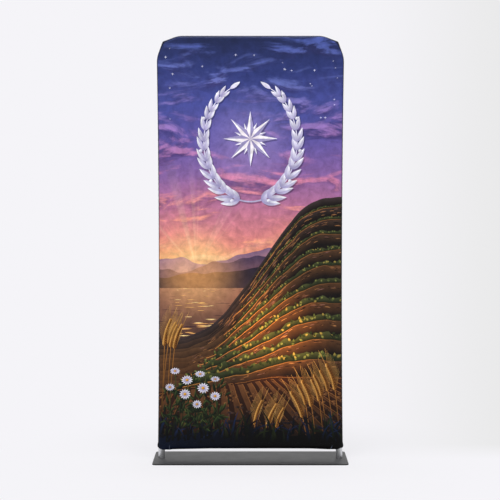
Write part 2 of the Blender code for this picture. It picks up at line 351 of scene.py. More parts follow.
def cut_points():
    """The cut's outline and the points inside it that its mesh is drawn through."""
    stations = np.array(edge_stations())
    wraps = [WRAP * step / WRAP_STEPS for step in range(WRAP_STEPS)]
    rings = [*INNER_RINGS, *wraps, WRAP - SEAM_ROLL, WRAP - SEAM_ROLL / 2]
    inside = [stations[:, :2] + stations[:, 2:] * ring for ring in rings]
    outer = stations[:, :2] + stations[:, 2:] * WRAP
    reach = TUBE_X + INNER_RINGS[0] - HEM_SPACING / 2
    across = np.linspace(-reach, reach, round(2 * reach / HEM_SPACING) + 1)
    rows = np.linspace(CUT_BOTTOM, LOWER_BAR_Z, HEM_ROWS + 1)
    low_corners = np.array([[side * (TUBE_X + ring), CUT_BOTTOM] for ring in rings for side in (-1, 1)])
    bottom = np.stack([across, np.full_like(across, rows[0])], axis=1)
    bottom = np.concatenate([bottom, low_corners])
    bottom = bottom[np.argsort(-bottom[:, 0])]
    outline = counterclockwise(np.concatenate([outer, bottom]))
    inside = [ring[1:-1] for ring in inside]
    grid_p, grid_q = np.meshgrid(across, rows[1:])
    inside.append(np.stack([grid_p.ravel(), grid_q.ravel()], axis=1))
    across = np.arange(-TUBE_X, TUBE_X, GRID_SPACING)
    rows = np.arange(LOWER_BAR_Z + GRID_SPACING / 2, TOP_BAR_Z, GRID_SPACING)
    grid_p, grid_q = np.meshgrid(across, rows)
    grid_p = grid_p + np.where(np.arange(len(grid_p)) % 2, GRID_SPACING / 2, 0)[:, None]
    grid = np.stack([grid_p.ravel(), grid_q.ravel()], axis=1)
    deep = rim_frame(grid[:, 0], grid[:, 1])[2] < -GRID_CLEARANCE
    inside.append(grid[deep])
    return outline, np.concatenate(inside)


def triangulate(points, edges, loops):
    """Triangles inside the first loop, each with the number of the last loop that it lies in."""
    made = delaunay_2d_cdt([Vector(point) for point in points], edges, loops, CDT_INSIDE, CDT_NEAR, True)
    flat = np.array([tuple(point) for point in made[0]])
    kept = [(triangle, max(owners)) for triangle, owners in zip(made[2], made[5]) if 0 in owners]
    used, triangles = np.unique([triangle for triangle, _ in kept], return_inverse=True)
    return flat[used], triangles.reshape(-1, 3), np.array([owner for _, owner in kept])


def cut_triangles(outline, inside, shapes):
    """Triangles of the cut that follow the drawn shapes, and the topmost shape on each."""
    border = list(range(len(outline)))
    points, loops = [*outline, *inside], [border]
    for shape in shapes:
        loops.append(list(range(len(points), len(points) + len(shape.outline))))
        points.extend(shape.outline)
    flat, triangles, owners = triangulate(points, [], loops)
    if not shapes:
        return flat, triangles, owners
    # A second cut follows the outlines only where they show, which spares a third of the triangles
    used, edges = np.unique(seams_between(triangles, owners), return_inverse=True)
    edges = edges.reshape(-1, 2) + len(outline) + len(inside)
    seen, seen_triangles, _ = triangulate([*outline, *inside, *flat[used]], edges.tolist(), [border])
    whole = BVHTree.FromPolygons([(*place, 0) for place in flat], triangles.tolist())
    middles = seen[seen_triangles].mean(axis=1)
    return seen, seen_triangles, owners[[whole.find_nearest((*place, 0))[2] for place in middles]]


def edges_both_ways(triangles):
    """Each triangle's directed edges, with a number for each and the number of its opposite."""
    edges = np.concatenate([triangles[:, pair] for pair in ([0, 1], [1, 2], [2, 0])]).astype(np.int64)
    span = triangles.max() + 1
    return edges, edges[:, 0] * span + edges[:, 1], edges[:, 1] * span + edges[:, 0]


def seams_between(triangles, owners):
    """Edges that have a different shape on each side."""
    edges, keys, opposite = edges_both_ways(triangles)
    owner = np.tile(owners, 3)
    order = np.argsort(keys)
    across = order[np.searchsorted(keys[order], opposite).clip(max=len(keys) - 1)]
    return edges[(keys[across] == opposite) & (owner[across] > owner)]


def open_edges(triangles):
    """Directed edges that only one triangle has."""
    edges, keys, opposite = edges_both_ways(triangles)
    return edges[~np.isin(keys, opposite)]


def edge_loop(triangles):
    """The points round the edge of a sheet of triangles, in their order."""
    following = dict(open_edges(triangles).tolist())
    loop = [next(iter(following))]
    while following[loop[-1]] != loop[0]:
        loop.append(following[loop[-1]])
    return loop


def edge_strip(flat, triangles, lining):
    """Faces that join a sheet's edge to its lining's, whose points follow the sheet's."""
    partner = {tuple(place): len(flat) + index for index, place in enumerate(lining.tolist())}
    edges = open_edges(triangles).tolist()
    pair = {index: partner[tuple(flat[index].tolist())] for edge in edges for index in edge}
    return [(b, a, pair[a], pair[b]) for a, b in edges]


def add_cloth(name, face, shapes, finish, reverse, cloth):
    """One cloth panel as a closed sheet: its printed side, its plain reverse and the thin edge between."""
    outline, inside = cut_points()
    flat, triangles, owners = cut_triangles(outline, inside, shapes)
    lining, lining_triangles, _ = cut_triangles(flat[edge_loop(triangles)], inside, [])
    if face > 0:
        triangles, lining_triangles = triangles[:, ::-1], lining_triangles[:, ::-1]
    count = len(flat)
    sheets = [*triangles.tolist(), *(lining_triangles[:, ::-1] + count).tolist()]
    places = np.concatenate([flat, lining])
    hung, normals = hang(*places.T, face, cloth), hang_normals(*places.T, face, cloth)
    hung[count:] -= normals[count:] * cloth.thickness
    normals[count:] *= -1
    mesh = bpy.data.meshes.new(name)
    mesh.from_pydata(hung.tolist(), [], [*sheets, *edge_strip(flat, triangles, lining)])
    mesh.materials.append(finish)
    mesh.materials.append(reverse)
    sides = np.zeros(len(mesh.polygons), dtype=np.int32)
    sides[len(triangles): len(sheets)] = 1
    mesh.polygons.foreach_set("material_index", sides)
    colours = np.zeros((len(mesh.loops), 4), dtype=np.float32)
    colours[: triangles.size] = paint(flat, triangles, owners, shapes)
    colours[3 * len(sheets):] = (*linear(EDGE_DARK), 1)
    set_corners(mesh, places, colours, normals, len(sheets))
    return add_piece(name, mesh)


def set_corners(mesh, places, colours, normals, sheet_faces):
    """Gives the corners of a cloth's mesh their place on the cut, their ink and their normals."""
    corners = np.empty(len(mesh.loops), dtype=np.int32)
    mesh.loops.foreach_get("vertex_index", corners)
    mesh.uv_layers.new(name=CUT_MAP).uv.foreach_set("vector", places[corners].astype(np.float32).ravel())
    ink = mesh.color_attributes.new(name=INK, type="FLOAT_COLOR", domain="CORNER")
    ink.data.foreach_set("color", colours.ravel())
    mesh.polygons.foreach_set("use_smooth", np.ones(len(mesh.polygons), dtype=bool))
    # The thin edge keeps its own normals, so that it stays crisp beside the rounded sheets
    face_normals = np.empty(len(mesh.polygons) * 3, dtype=np.float32)
    mesh.polygons.foreach_get("normal", face_normals)
    corner_normals = normals[corners]
    corner_normals[3 * sheet_faces:] = np.repeat(face_normals.reshape(-1, 3)[sheet_faces:], 4, axis=0)
    mesh.normals_split_custom_set(corner_normals.tolist())


def add_piece(name, data):
    """An object of the scene that holds a mesh, a lamp or a camera."""
    piece = bpy.data.objects.new(name, data)
    bpy.context.scene.collection.objects.link(piece)
    return piece


# The printed design, drawn as shapes on the flat cut, later ones over earlier ones

Shape = namedtuple("Shape", "outline colour")
EDGING_WIDTH = 0.0125


def linear(code):
    """Linear colour of an sRGB hex value."""
    parts = [int(code[start: start + 2], 16) / 255 for start in (1, 3, 5)]
    return tuple(part / 12.92 if part <= 0.04045 else ((part + 0.055) / 1.055) ** 2.4 for part in parts)


def blend(first, last, share, cover=1.0):
    """Colours from one hex value to another, with how much of the sky they cover."""
    share = np.clip(share, 0, 1)[:, None]
    mixed = np.array(linear(first)) * (1 - share) + np.array(linear(last)) * share
    return np.concatenate([mixed, np.full_like(share, cover)], axis=1)


def wash(start, end, first, last, cover=1.0):
    """A straight run of colour from one point to another."""
    start, way = np.array(start), np.array(end) - np.array(start)
    return lambda points: blend(first, last, (points - start) @ way / (way @ way), cover)


def wash_below(line, depth, first, last):
    """A run of colour down from a line that is given as a height for each place across."""
    return lambda points: blend(first, last, (line(points[:, 0]) - points[:, 1]) / depth)


def paint(flat, triangles, owners, shapes):
    """Colour and cover at each triangle's corners. What no shape covers is left to the sky."""
    colours = np.zeros((*triangles.shape, 4), dtype=np.float32)
    order = np.argsort(owners, kind="stable")
    starts = np.searchsorted(owners[order], np.arange(1, len(shapes) + 2))
    for shape, first, last in zip(shapes, starts, starts[1:]):
        rows = order[first:last]
        if len(rows):
            corners = flat[triangles[rows].ravel()]
            colours[rows] = shape.colour(corners).reshape(-1, 3, 4)
    return colours.reshape(-1, 4)


def flat_tone(code, cover=1.0):
    """One colour all over."""
    return lambda points: blend(code, code, np.zeros(len(points)), cover)


def counterclockwise(outline):
    """The outline's points in the order that keeps its inside on the left."""
    outline = np.asarray(outline, dtype=float)
    x, z = outline.T
    area = np.sum(x * np.roll(z, -1) - z * np.roll(x, -1))
    return outline if area > 0 else outline[::-1]


def follow_rim(outline):
    """Adds points where an outline crosses the cloth's turned rim or hem, so that it bends with them."""
    way = np.roll(outline, -1, axis=0) - outline
    counts = np.ceil(np.hypot(*way.T) / RIM_STEP).astype(int).clip(1)
    firsts = np.repeat(np.cumsum(counts) - counts, counts)
    share = (np.arange(counts.sum()) - firsts) / np.repeat(counts, counts)
    points = np.repeat(outline, counts, axis=0) + np.repeat(way, counts, axis=0) * share[:, None]
    past = rim_frame(*points.T)[2]
    turned_in = (past > -RIM_STEP) & (past < WRAP + RIM_STEP)
    low = (points[:, 1] < LOWER_BAR_Z + RIM_STEP) & (points[:, 1] > CUT_BOTTOM - RIM_STEP) & (past < WRAP)
    return points[turned_in | low | (share == 0)]


def shape(outline, colour):
    """One shape of the print, ready to be cut into the cloth."""
    return Shape(follow_rim(counterclockwise(outline)), colour)


def joined(across, up):
    """Points from their places across and up."""
    return np.stack([across, up], axis=1)


def turned(points, angle, place):
    """Points along and across a direction, turned to it and moved to a place."""
    along, across = np.asarray(points, dtype=float).T
    x = along * math.cos(angle) - across * math.sin(angle)
    z = along * math.sin(angle) + across * math.cos(angle)
    return joined(x, z) + np.asarray(place)


def ribbon(middle_line, widths):
    """The outline of a band along a line, with its width at each point."""
    line = np.asarray(middle_line, dtype=float)
    way = np.gradient(line, axis=0)
    way /= np.linalg.norm(way, axis=1, keepdims=True)
    half = joined(-way[:, 1], way[:, 0]) * np.asarray(widths)[:, None] / 2
    return np.concatenate([line + half, (line - half)[::-1]])


def leaf_halves(root, angle, length, width, bend=0.0, steps=8):
    """Outlines of the two halves of a pointed leaf, either side of its midrib."""
    share = np.linspace(0, 1, steps + 1)
    rib = joined(length * share, bend * length * share**2)
    half = width / 2 * np.sin(math.pi * share**0.85) ** 0.9
    halves = []
    for side in (1, -1):
        rim = rib[1:-1] + joined(np.zeros(steps - 1), side * half[1:-1])
        halves.append(turned(np.concatenate([rib, rim[::-1]]), angle, root))
    return halves


def ring(count):
    """Angles in even steps once round."""
    return np.linspace(0, math.tau, count + 1)[:-1]


def heading(angle):
    """The direction of an angle, one unit long."""
    return np.array([math.cos(angle), math.sin(angle)])


def around(angles, reach, place):
    """Points at a distance, or at one each, round a place."""
    return joined(np.cos(angles), np.sin(angles)) * np.reshape(reach, (-1, 1)) + place


def over_shadow(drawn):
    """Shapes from outlines with their colours, over a faint dark copy of all, moved down to the right."""
    drawn = list(drawn)
    shadow = flat_tone(SHADOW_TONE, SHADOW_COVER)
    shadows = [shape(outline + SHADOW_SHIFT, shadow) for outline, _ in drawn]
    return shadows + [shape(outline, colour) for outline, colour in drawn]


def rolling(x, seed, pitch):
    """An uneven line made of a few waves."""
    draw = np.random.default_rng(seed)
    return sum(np.sin(x * pitch * step + draw.uniform(0, math.tau)) / step for step in (1, 2, 3, 5, 8))


# The picture on the cut: its shapes run to SIDE, a little past the cut's edges, the shadow of wreath
# and star, the middle of the low sun's glow, and the middle of the sunlit part of the slope
SIDE = 0.5
ACROSS = np.linspace(-SIDE, SIDE, 81)
SHADOW_SHIFT = (0.006, -0.007)
SHADOW_TONE = "#17183c"
SHADOW_COVER = 0.45
GLOW = (-0.27, 0.945)
SUNLIT_SLOPE = (0.13, 0.62)

# Far hills: height at the left, rise to the right, unevenness, its pitch and seed, and the colours of
# the crest and of the haze at its foot
Hills = namedtuple("Hills", "height rise roughness pitch seed crest foot")
FAR_HILLS = (
    Hills(0.990, 0.060, 0.020, 9.0, 3, "#846a88", "#c98f82"),
    Hills(0.945, 0.120, 0.016, 11.0, 8, "#54445f", "#876062"),
    Hills(0.895, 0.190, 0.013, 8.0, 5, "#332b3a", "#4a3a3f"),
)
HILLS_FOOT = 0.7
HAZE_DEPTH = 0.12


def hills():
    """Ranges of far hills, hazy at their feet."""
    for row in FAR_HILLS:
        def crest(x, row=row):
            rise = row.rise * (x + SIDE) ** 1.5
            return row.height + rise + row.roughness * rolling(x, row.seed, row.pitch)

        top = joined(ACROSS, crest(ACROSS))
        haze = wash_below(crest, HAZE_DEPTH, row.crest, row.foot)
        yield shape([*top, (SIDE, HILLS_FOOT), (-SIDE, HILLS_FOOT)], haze)


# The lake's far and near shore, its ripples, and how far to either side the glow lights them
LAKE_TOP = 0.850
LAKE_FOOT = 0.56
RIPPLES = 150
LIT_RIPPLES = 0.10


def lake():
    """Still water that holds the evening light, with ripples that widen towards the shore."""
    water = [(-SIDE, LAKE_FOOT), (SIDE, LAKE_FOOT), (SIDE, LAKE_TOP), (-SIDE, LAKE_TOP)]
    yield shape(water, wash((0, LAKE_TOP), (0, LAKE_FOOT), "#a87862", "#2c2428"))
    draw = np.random.default_rng(21)
    for _ in range(RIPPLES):
        depth = draw.uniform(0.01, 1.0) ** 1.3
        z = LAKE_TOP - (LAKE_TOP - LAKE_FOOT) * depth
        x = draw.normal(GLOW[0], 0.13) if draw.random() < 0.55 else draw.uniform(-0.48, 0.30)
        length, height = (0.018 + 0.075 * depth) * draw.uniform(0.6, 1.4), (0.0013 + 0.0038 * depth)
        lit = abs(x - GLOW[0]) < LIT_RIPPLES and draw.random() < 0.75
        colour = draw.choice(["#ffdf9c", "#f0b56c"] if lit else ["#54393c", "#8c5c4a", "#46303a"])
        share = np.linspace(0, 1, 7)
        lens = height / 2 * np.sin(math.pi * share)
        top = joined(x + length * (share - 0.5), z + lens)
        low = joined(x + length * (share[-2:0:-1] - 0.5), z - lens[-2:0:-1])
        yield shape([*top, *low], flat_tone(colour))


# The terraced slope: how many terraces, its foot, and the strokes of earth and the leaves on each
TERRACES = 11
HILL_FOOT = 0.36
EARTH_MARKS = 70
VINE_LEAVES = 60
TERRACE_TONES = ("#463a3a", "#483a36", "#503d33", "#5b4331", "#644832", "#684930", "#64452d")


def hill_top(x):
    """The terraced slope's skyline, rising to the right."""
    rise = 0.70 * smooth_step((x + 0.36) / 0.76) ** 1.1
    return 0.600 + rise + 0.005 * rolling(x, 14, 12.0)


def terrace_line(step):
    """The front edge of one terrace, closer together up the hill."""
    share = (step / TERRACES) ** 1.25

    def line(x):
        foot = HILL_FOOT + 0.05 * np.sin(3.0 * x + 0.7)
        uneven = 0.0045 * rolling(x, 30 + step, 15.0) * min(step, 3) / 3
        return hill_top(x) * (1 - share) + foot * share + uneven

    return line


def terraces():
    """A terraced slope with rows of vines, each terrace with a lit edge and a dark foot."""
    for step in range(TERRACES):
        line = terrace_line(step)
        crest = joined(ACROSS, line(ACROSS))
        lit = TERRACE_TONES[min(step, len(TERRACE_TONES) - 1)]
        earth = wash_below(line, 0.034 + 0.005 * step, lit, "#191312")
        yield shape([*crest, (SIDE, 0.3), (-SIDE, 0.3)], earth)
        if step:
            yield from earth_marks(line, step)
            yield from vine_row(line, step)


def earth_marks(line, step):
    """Short lit and dark strokes of earth under a terrace's edge."""
    draw = np.random.default_rng(60 + step)
    for _ in range(EARTH_MARKS):
        x = draw.uniform(-0.46 + 0.03 * (TERRACES - step), 0.48)
        z = float(line(x)) - draw.uniform(0.004, 0.040)
        length, height = draw.uniform(0.010, 0.034), draw.uniform(0.0016, 0.0042)
        share = np.linspace(-0.5, 0.5, 5)
        slope = (float(line(x + 0.01)) - float(line(x - 0.01))) / 0.02
        sag = 0.2 * length * share**2
        middle_line = joined(x + length * share, z + slope * length * share - sag)
        tone = draw.choice(["#a5764c", "#8a5f40", "#171214", "#201817", "#7d5a50"])
        yield shape(ribbon(middle_line, height * (1 - 3.6 * share**2)), flat_tone(tone))


def vine_row(line, step):
    """Vines along a terrace: a scalloped band, darker at its foot, with a lit lip under it."""
    height = 0.008 + 0.0032 * step
    start = -0.44 + 0.044 * (TERRACES - step)
    x = np.arange(start, SIDE, 0.36 * height)
    tuft = 0.60 + 0.40 * np.abs(np.sin(x / height * 1.15 + step)) + 0.12 * rolling(x, 50 + step, 60.0)
    grow = smooth_step((x - start) / 0.12)
    low = line(x) - 0.30 * height
    top = low + height * tuft * grow + 0.0004
    there_and_back = np.concatenate([x, x[::-1]])
    lip = joined(there_and_back, np.concatenate([low - 0.0032, low[::-1] + 0.0002]))
    band = joined(there_and_back, np.concatenate([low, top[::-1]]))

    def crown(across):
        return line(across) + 0.6 * height

    yield shape(lip, wash((start, 0), (SIDE, 0), "#d0904e", "#5c3f2c"))
    yield shape(band, wash_below(crown, height, "#4c5232", "#12150f"))
    draw = np.random.default_rng(80 + step)
    for _ in range(VINE_LEAVES):
        place = draw.uniform(start + 0.03, 0.49)
        root = (place, float(line(place)) + draw.uniform(-0.2, 0.45) * height)
        tone = draw.choice(["#7c8248", "#5d6638", "#9a8a48", "#343c22", "#2a3420"])
        for half in leaf_halves(root, draw.uniform(0.2, 2.9), 0.55 * height, 0.30 * height, 0.0, 4):
            yield shape(half, wash(root, half[2], "#20261a", tone))


# The field: where its furrows would meet, their pitch, width, lit edge and sway, and its loose clods
VANISHING = (-0.16, 0.66)
FURROW_PITCH = 0.078
FURROW_WIDTH = 0.034
FURROW_EDGE = 0.0045
FURROW_SWAY = 0.0035
CLODS = 230
CLOD_FOOT, CLOD_TOP = 0.14, 0.36


def field():
    """Ploughed ground whose furrows run towards the lake, dark at the foot of the print."""
    line = terrace_line(TERRACES)
    top = joined(ACROSS, line(ACROSS))
    lit, dark = (0, 0.42), (0, 0.11)
    yield shape([*top, (SIDE, 0), (-SIDE, 0)], wash(lit, dark, "#7d5334", "#1a1210"))
    for step in range(-15, 18):
        z = np.linspace(0.0, 0.47, 14)
        spread = (VANISHING[1] - z) / 0.5
        middle_line = VANISHING[0] + FURROW_PITCH * step * spread + FURROW_SWAY * np.sin(26 * z + step)
        # Points past the field's edge lie on it, each a hair above the last so that the line goes on
        z = np.minimum(z, line(middle_line) - 0.001) + 1e-5 * np.arange(14)
        band = ribbon(joined(middle_line, z), FURROW_WIDTH * spread)
        yield shape(band, wash(lit, dark, "#46291c", "#0c0908"))
        edge = joined(middle_line - 0.018 * spread, z)
        yield shape(ribbon(edge, FURROW_EDGE * spread), wash(lit, dark, "#a8713e", "#2a1b13"))


def clods():
    """Loose earth on the ploughed ground, lit from the left."""
    draw = np.random.default_rng(5)
    for _ in range(CLODS):
        z = draw.uniform(CLOD_FOOT, CLOD_TOP)
        x = draw.uniform(-0.48, 0.48)
        size = draw.uniform(0.004, 0.011) * (1.25 - 1.4 * (z - CLOD_FOOT))
        angles = ring(7) + draw.uniform(0, 1)
        outline = around(angles, size * draw.uniform(0.6, 1.1, 7), (0, 0)) * (1.5, 0.7) + (x, z)
        height = (z - CLOD_FOOT) / 0.22
        light = "#9a6a42" if height > 0.55 else "#5a4238" if height > 0.25 else "#2c2630"
        left, right = (x - size, z + 0.5 * size), (x + size, z - 0.5 * size)
        yield shape(outline, wash(left, right, light, "#0d0a0b"))


# An ear of wheat: its grains on each side, their distance, length and width, and the awns on them
EAR_GRAINS = 11
GRAIN_PITCH = 0.0105
GRAIN_LENGTH = 0.024
GRAIN_WIDTH = 0.0115
AWN_START = 0.020
AWN_LENGTH = 0.070
AWN_WIDTHS = (0.0020, 0.0013, 0.0006)


def wheat_stalk(root, tip, lean, draw):
    """One stalk of ripe wheat with its ear."""
    share = np.linspace(0, 1, 15)[:, None]
    root, tip = np.array(root), np.array(tip)
    stem = root * (1 - share) + tip * share + np.array([lean, 0]) * share * share
    size = draw.uniform(0.85, 1.15)
    straw = wash(root + 0.3 * (tip - root), tip, "#0d0a09", "#a8743c")
    bow = -0.020 * np.sign(lean + 1e-9)
    return [shape(ribbon(stem, np.linspace(0.0050, 0.0032, 15)), straw), *wheat_ear(stem, size, bow)]


def wheat_ear(stem, size, bow):
    """The ear on a stem: two rows of grains, over the awns that start from them."""
    top, way = stem[-1], (stem[-1] - stem[-2]) / np.linalg.norm(stem[-1] - stem[-2])
    awns, grains = [], []
    for step in range(EAR_GRAINS):
        angle = math.atan2(way[1], way[0]) + bow * step
        ahead = heading(angle)
        place = top + ahead * GRAIN_PITCH * size * step
        for side in (-1, 1):
            spread = side * (0.46 - 0.022 * step)
            foot = place + AWN_START * size * heading(angle + spread)
            tip = foot + AWN_LENGTH * size * heading(angle + 0.62 * spread)
            line = [foot - 0.004 * way, (foot + tip) / 2, tip]
            awns.append(shape(ribbon(line, AWN_WIDTHS), wash(foot, tip, "#8c5f2c", "#dcae66")))
            light, shade = ("#f0c072", "#a8702f") if side > 0 else ("#c48d45", "#7c4e22")
            length, width = GRAIN_LENGTH * size, GRAIN_WIDTH * size
            halves = leaf_halves(place, angle + spread, length, width, -0.12 * side, 5)
            for half, low, high in zip(halves, (shade, "#4f3016"), (light, shade)):
                grains.append(shape(half, wash(place, place + GRAIN_LENGTH * ahead, low, high)))
    return awns + grains


# Stands of wheat: stalks, the stretch across that they fill, shortest and tallest, and their lean
Stand = namedtuple("Stand", "count start end low high lean")
STANDS = (
    Stand(4, -0.46, -0.40, 0.44, 0.58, 0.03),
    Stand(7, 0.26, 0.46, 0.20, 0.36, -0.02),
    Stand(3, -0.02, 0.16, 0.13, 0.18, 0.015),
)


def wheat():
    """Wheat at both sides of the print, tallest at its left edge."""
    draw = np.random.default_rng(7)
    for stand in STANDS:
        for step in range(stand.count):
            x = stand.start + (stand.end - stand.start) * (step + draw.uniform(0.2, 0.8)) / stand.count
            inward = (x - stand.start) if stand.lean > 0 else (stand.end - x)
            height = stand.high - (stand.high - stand.low) * min(1.0, inward / 0.2) * draw.uniform(0.6, 1.2)
            lean = stand.lean * draw.uniform(0.3, 1.4)
            yield from wheat_stalk((x, 0.02), (x + 0.2 * lean, height), lean, draw)


# Blades of grass: how many, and the colours of each kind at its foot and its tip
BLADES = 130
BLADE_TONES = (
    ("#05070b", "#1c2c4c"), ("#060907", "#222d1a"), ("#05060a", "#10151f"),
    ("#05070b", "#24365c"), ("#060806", "#343f22"), ("#040508", "#0b0e15"),
)


def grasses():
    """Dark blades across the foot of the print, some with a cool or green light on them."""
    draw = np.random.default_rng(12)
    turf = [(-SIDE, 0), (SIDE, 0), *[(x, 0.13 + 0.014 * rolling(x, 4, 20.0)) for x in ACROSS[::-1]]]
    yield shape(turf, wash((-0.48, 0.09), (0.05, 0.09), "#0b1930", "#070607"))
    for _ in range(BLADES):
        x, height = draw.uniform(-0.49, 0.49), draw.uniform(0.05, 0.15)
        lean, width = draw.normal(0, 0.05), draw.uniform(0.006, 0.014)
        foot = draw.uniform(0.085, 0.13)
        share = np.linspace(0, 1, 9)
        blade = joined(x + lean * share**2, foot + height * share - 0.25 * abs(lean) * share**3)
        widths = width * (1 - share**1.6) + 0.0006
        dark, light = BLADE_TONES[draw.integers(len(BLADE_TONES))]
        yield shape(ribbon(blade, widths), wash(blade[0], blade[-1], dark, light))


# Daisies: place of the flower's middle, size of a petal, how far it is tilted back and its turn
Daisy = namedtuple("Daisy", "x z petal tilt turn")
DAISIES = (
    Daisy(-0.315, 0.395, 0.030, 0.80, 0.1),
    Daisy(-0.250, 0.425, 0.027, 0.62, 0.5),
    Daisy(-0.375, 0.440, 0.026, 0.66, 0.2),
    Daisy(-0.235, 0.355, 0.031, 0.88, 0.3),
    Daisy(-0.325, 0.325, 0.029, 0.92, 0.6),
    Daisy(-0.175, 0.400, 0.024, 0.60, 0.0),
    Daisy(-0.400, 0.360, 0.025, 0.74, 0.4),
    Daisy(-0.175, 0.315, 0.027, 0.85, 0.2),
    Daisy(-0.265, 0.275, 0.024, 0.90, 0.7),
)
# The bush under them, and the petals of each
BUSH_FOOT = 0.15
BUSH_LEAVES = 170
BUSH_TONES = (("#4a5c34", "#2a3a22"), ("#35452a", "#1c281a"), ("#5f6a3a", "#303c22"))
PETALS = 13


def daisies():
    """White field daisies over a dark bush of leaves."""
    draw = np.random.default_rng(17)
    for flower in sorted(DAISIES, key=lambda row: -row.z):
        share = np.linspace(0, 1, 9)
        sway = 0.02 * np.sin(share * 2 + flower.turn * 5) * share
        stem = joined(flower.x + sway, flower.z * (1 - share) + BUSH_FOOT * share)
        yield shape(ribbon(stem, np.full(9, 0.0036)), wash(stem[0], stem[-1], "#46522e", "#0a0d0a"))
    for _ in range(BUSH_LEAVES):
        flower = DAISIES[draw.integers(len(DAISIES))]
        root = np.array([flower.x + draw.normal(0, 0.030), draw.uniform(BUSH_FOOT, flower.z - 0.01)])
        angle, length = math.pi / 2 + draw.normal(0, 0.75), draw.uniform(0.028, 0.052)
        tones = BUSH_TONES[draw.integers(len(BUSH_TONES))]
        halves = leaf_halves(root, angle, length, 0.30 * length, draw.normal(0, 0.2), 6)
        for half, colour in zip(halves, tones):
            yield shape(half, wash(root, half[6], "#0c110c", colour))
    for flower in sorted(DAISIES, key=lambda row: -row.z):
        yield from daisy_head(flower)


def daisy_head(flower):
    """One flower: its petals, each with a lit and a shaded half, round a yellow disc."""
    centre = np.array([flower.x, flower.z])
    squash = np.array([1.0, flower.tilt])
    for angle in flower.turn + ring(PETALS):
        halves = leaf_halves((0, 0), angle, flower.petal, flower.petal * 0.38, 0.0, 6)
        tip = centre + flower.petal * squash * heading(angle)
        for half, tone in zip(halves, ("#ffffff", "#cfcbe0")):
            yield shape(half * squash + centre, wash(centre, tip, "#9a94b4", tone))
    disc = around(ring(14), flower.petal * 0.27, (0, 0)) * squash + centre
    lit, shaded = centre + (-0.006, 0.006), centre + (0.007, -0.007)
    yield shape(disc, wash(lit, shaded, "#f3bf4e", "#8c4f18"))


# The wreath's middle, the points along a branch and the angles that it runs through, its pairs of
# leaves, the point where they start and the points between them, their sizes and that of the berries
WREATH = (0.0, 1.565)
BRANCH_POINTS = 60
BRANCH_FOOT, BRANCH_TIP = math.radians(-99), math.radians(64)
BRANCH_LEAVES = 14
FIRST_LEAF, LEAF_PITCH = 8, 3.6
OUTER_LEAF, INNER_LEAF, LEAF_WIDTH = 0.088, 0.098, 0.031
BERRY_SIZE = 0.0085


def laurel(prints):
    """Two laurel branches that cross at their feet and curve up either side, as outlines with colours."""
    for side in (-1, 1):
        turn = np.linspace(BRANCH_FOOT, BRANCH_TIP, BRANCH_POINTS)
        radii = np.array([side * prints.wreath_width / 2, prints.wreath_height / 2])
        stem = around(turn, 1.0, (0, 0)) * radii + WREATH
        bark = wash(stem[0], stem[-1], "#b8b3d2", "#f4f2fa")
        yield ribbon(stem, np.linspace(0.0075, 0.003, BRANCH_POINTS)), bark
        for step in range(BRANCH_LEAVES):
            near = int(FIRST_LEAF + LEAF_PITCH * step)
            root, way = stem[near], stem[min(near + 1, BRANCH_POINTS - 1)] - stem[near - 1]
            angle = math.atan2(way[1], way[0])
            yield from laurel_leaves(root, angle, side, step)
            if step % 3 == 1:
                place = root + 0.018 * np.array([math.sin(angle), -math.cos(angle)]) * side
                lit, shaded = place + (-0.006, 0.006), place + (0.008, -0.008)
                yield around(ring(14), BERRY_SIZE, place), wash(lit, shaded, "#ffffff", "#9f98c4")
        way = stem[-1] - stem[-3]
        for half in leaf_halves(stem[-1], math.atan2(way[1], way[0]), 0.062, 0.020):
            yield half, wash(stem[-1], stem[-1] + (0, 0.05), "#c5c0db", "#ffffff")


def laurel_leaves(root, angle, side, step):
    """A leaf either side of the stem, each with a lit and a shaded half."""
    size = 1.0 - 0.030 * step
    for out in (-1, 1):
        spread = out * (0.62 - 0.012 * step)
        length = (OUTER_LEAF if out * side > 0 else INNER_LEAF) * size
        halves = leaf_halves(root, angle + spread, length, LEAF_WIDTH * size, -0.16 * out)
        end = root + length * heading(angle + spread)
        lights = ("#ffffff", "#cfcbe2") if side * out < 0 else ("#dedaec", "#ffffff")
        for half, tone in zip(halves, lights):
            yield half, wash(root, end, "#9d96c0", tone)


# The star's place above the wreath's middle, and its rays: how many, their reach, how far in the
# valleys between them lie, and the angle of the first. The small ones lie under the large ones.
STAR_RISE = 0.018
Rays = namedtuple("Rays", "count reach valley start")
STAR_RAYS = (Rays(8, 0.62, 0.40, math.pi / 8), Rays(8, 1.0, 0.34, 0.0))


def star(prints):
    """A star of eight equal faceted points, with eight small ones between, as outlines with colours."""
    centre = np.array(WREATH) + (0, STAR_RISE)
    for rays in STAR_RAYS:
        reach = prints.star_size / 2 * rays.reach
        for angle in rays.start + ring(rays.count):
            tip = centre + reach * heading(angle)
            for side, low, high in ((1, "#e9dfe6", "#ffffff"), (-1, "#8f87b4", "#b5afd2")):
                valley = centre + reach * rays.valley * heading(angle + side * math.pi / rays.count)
                yield np.array([centre, tip, valley]), wash(centre, tip, low, high)


# Small stars: how many, the stretch of sky that they fill, and the oval round the wreath without them
SPARKLES = 22
SPARKLE_SKY = (-0.43, 0.43), (1.66, 2.04)
SPARKLE_FREE = (0.34, 0.40)


def sparkles():
    """Small four-pointed stars in the upper sky, none behind the wreath."""
    draw = np.random.default_rng(31)
    made = []
    while len(made) < SPARKLES:
        place = np.array([draw.uniform(low, high) for low, high in SPARKLE_SKY])
        if np.hypot(*((place - WREATH) / SPARKLE_FREE)) < 1:
            continue
        size = draw.uniform(0.003, 0.008)
        outline = around(ring(8), np.where(np.arange(8) % 2, 0.25, 1.0) * size, place)
        made.append(shape(outline, wash(place, place + (0, size), "#f4f4ff", "#a8b0e0", 0.8)))
    return made


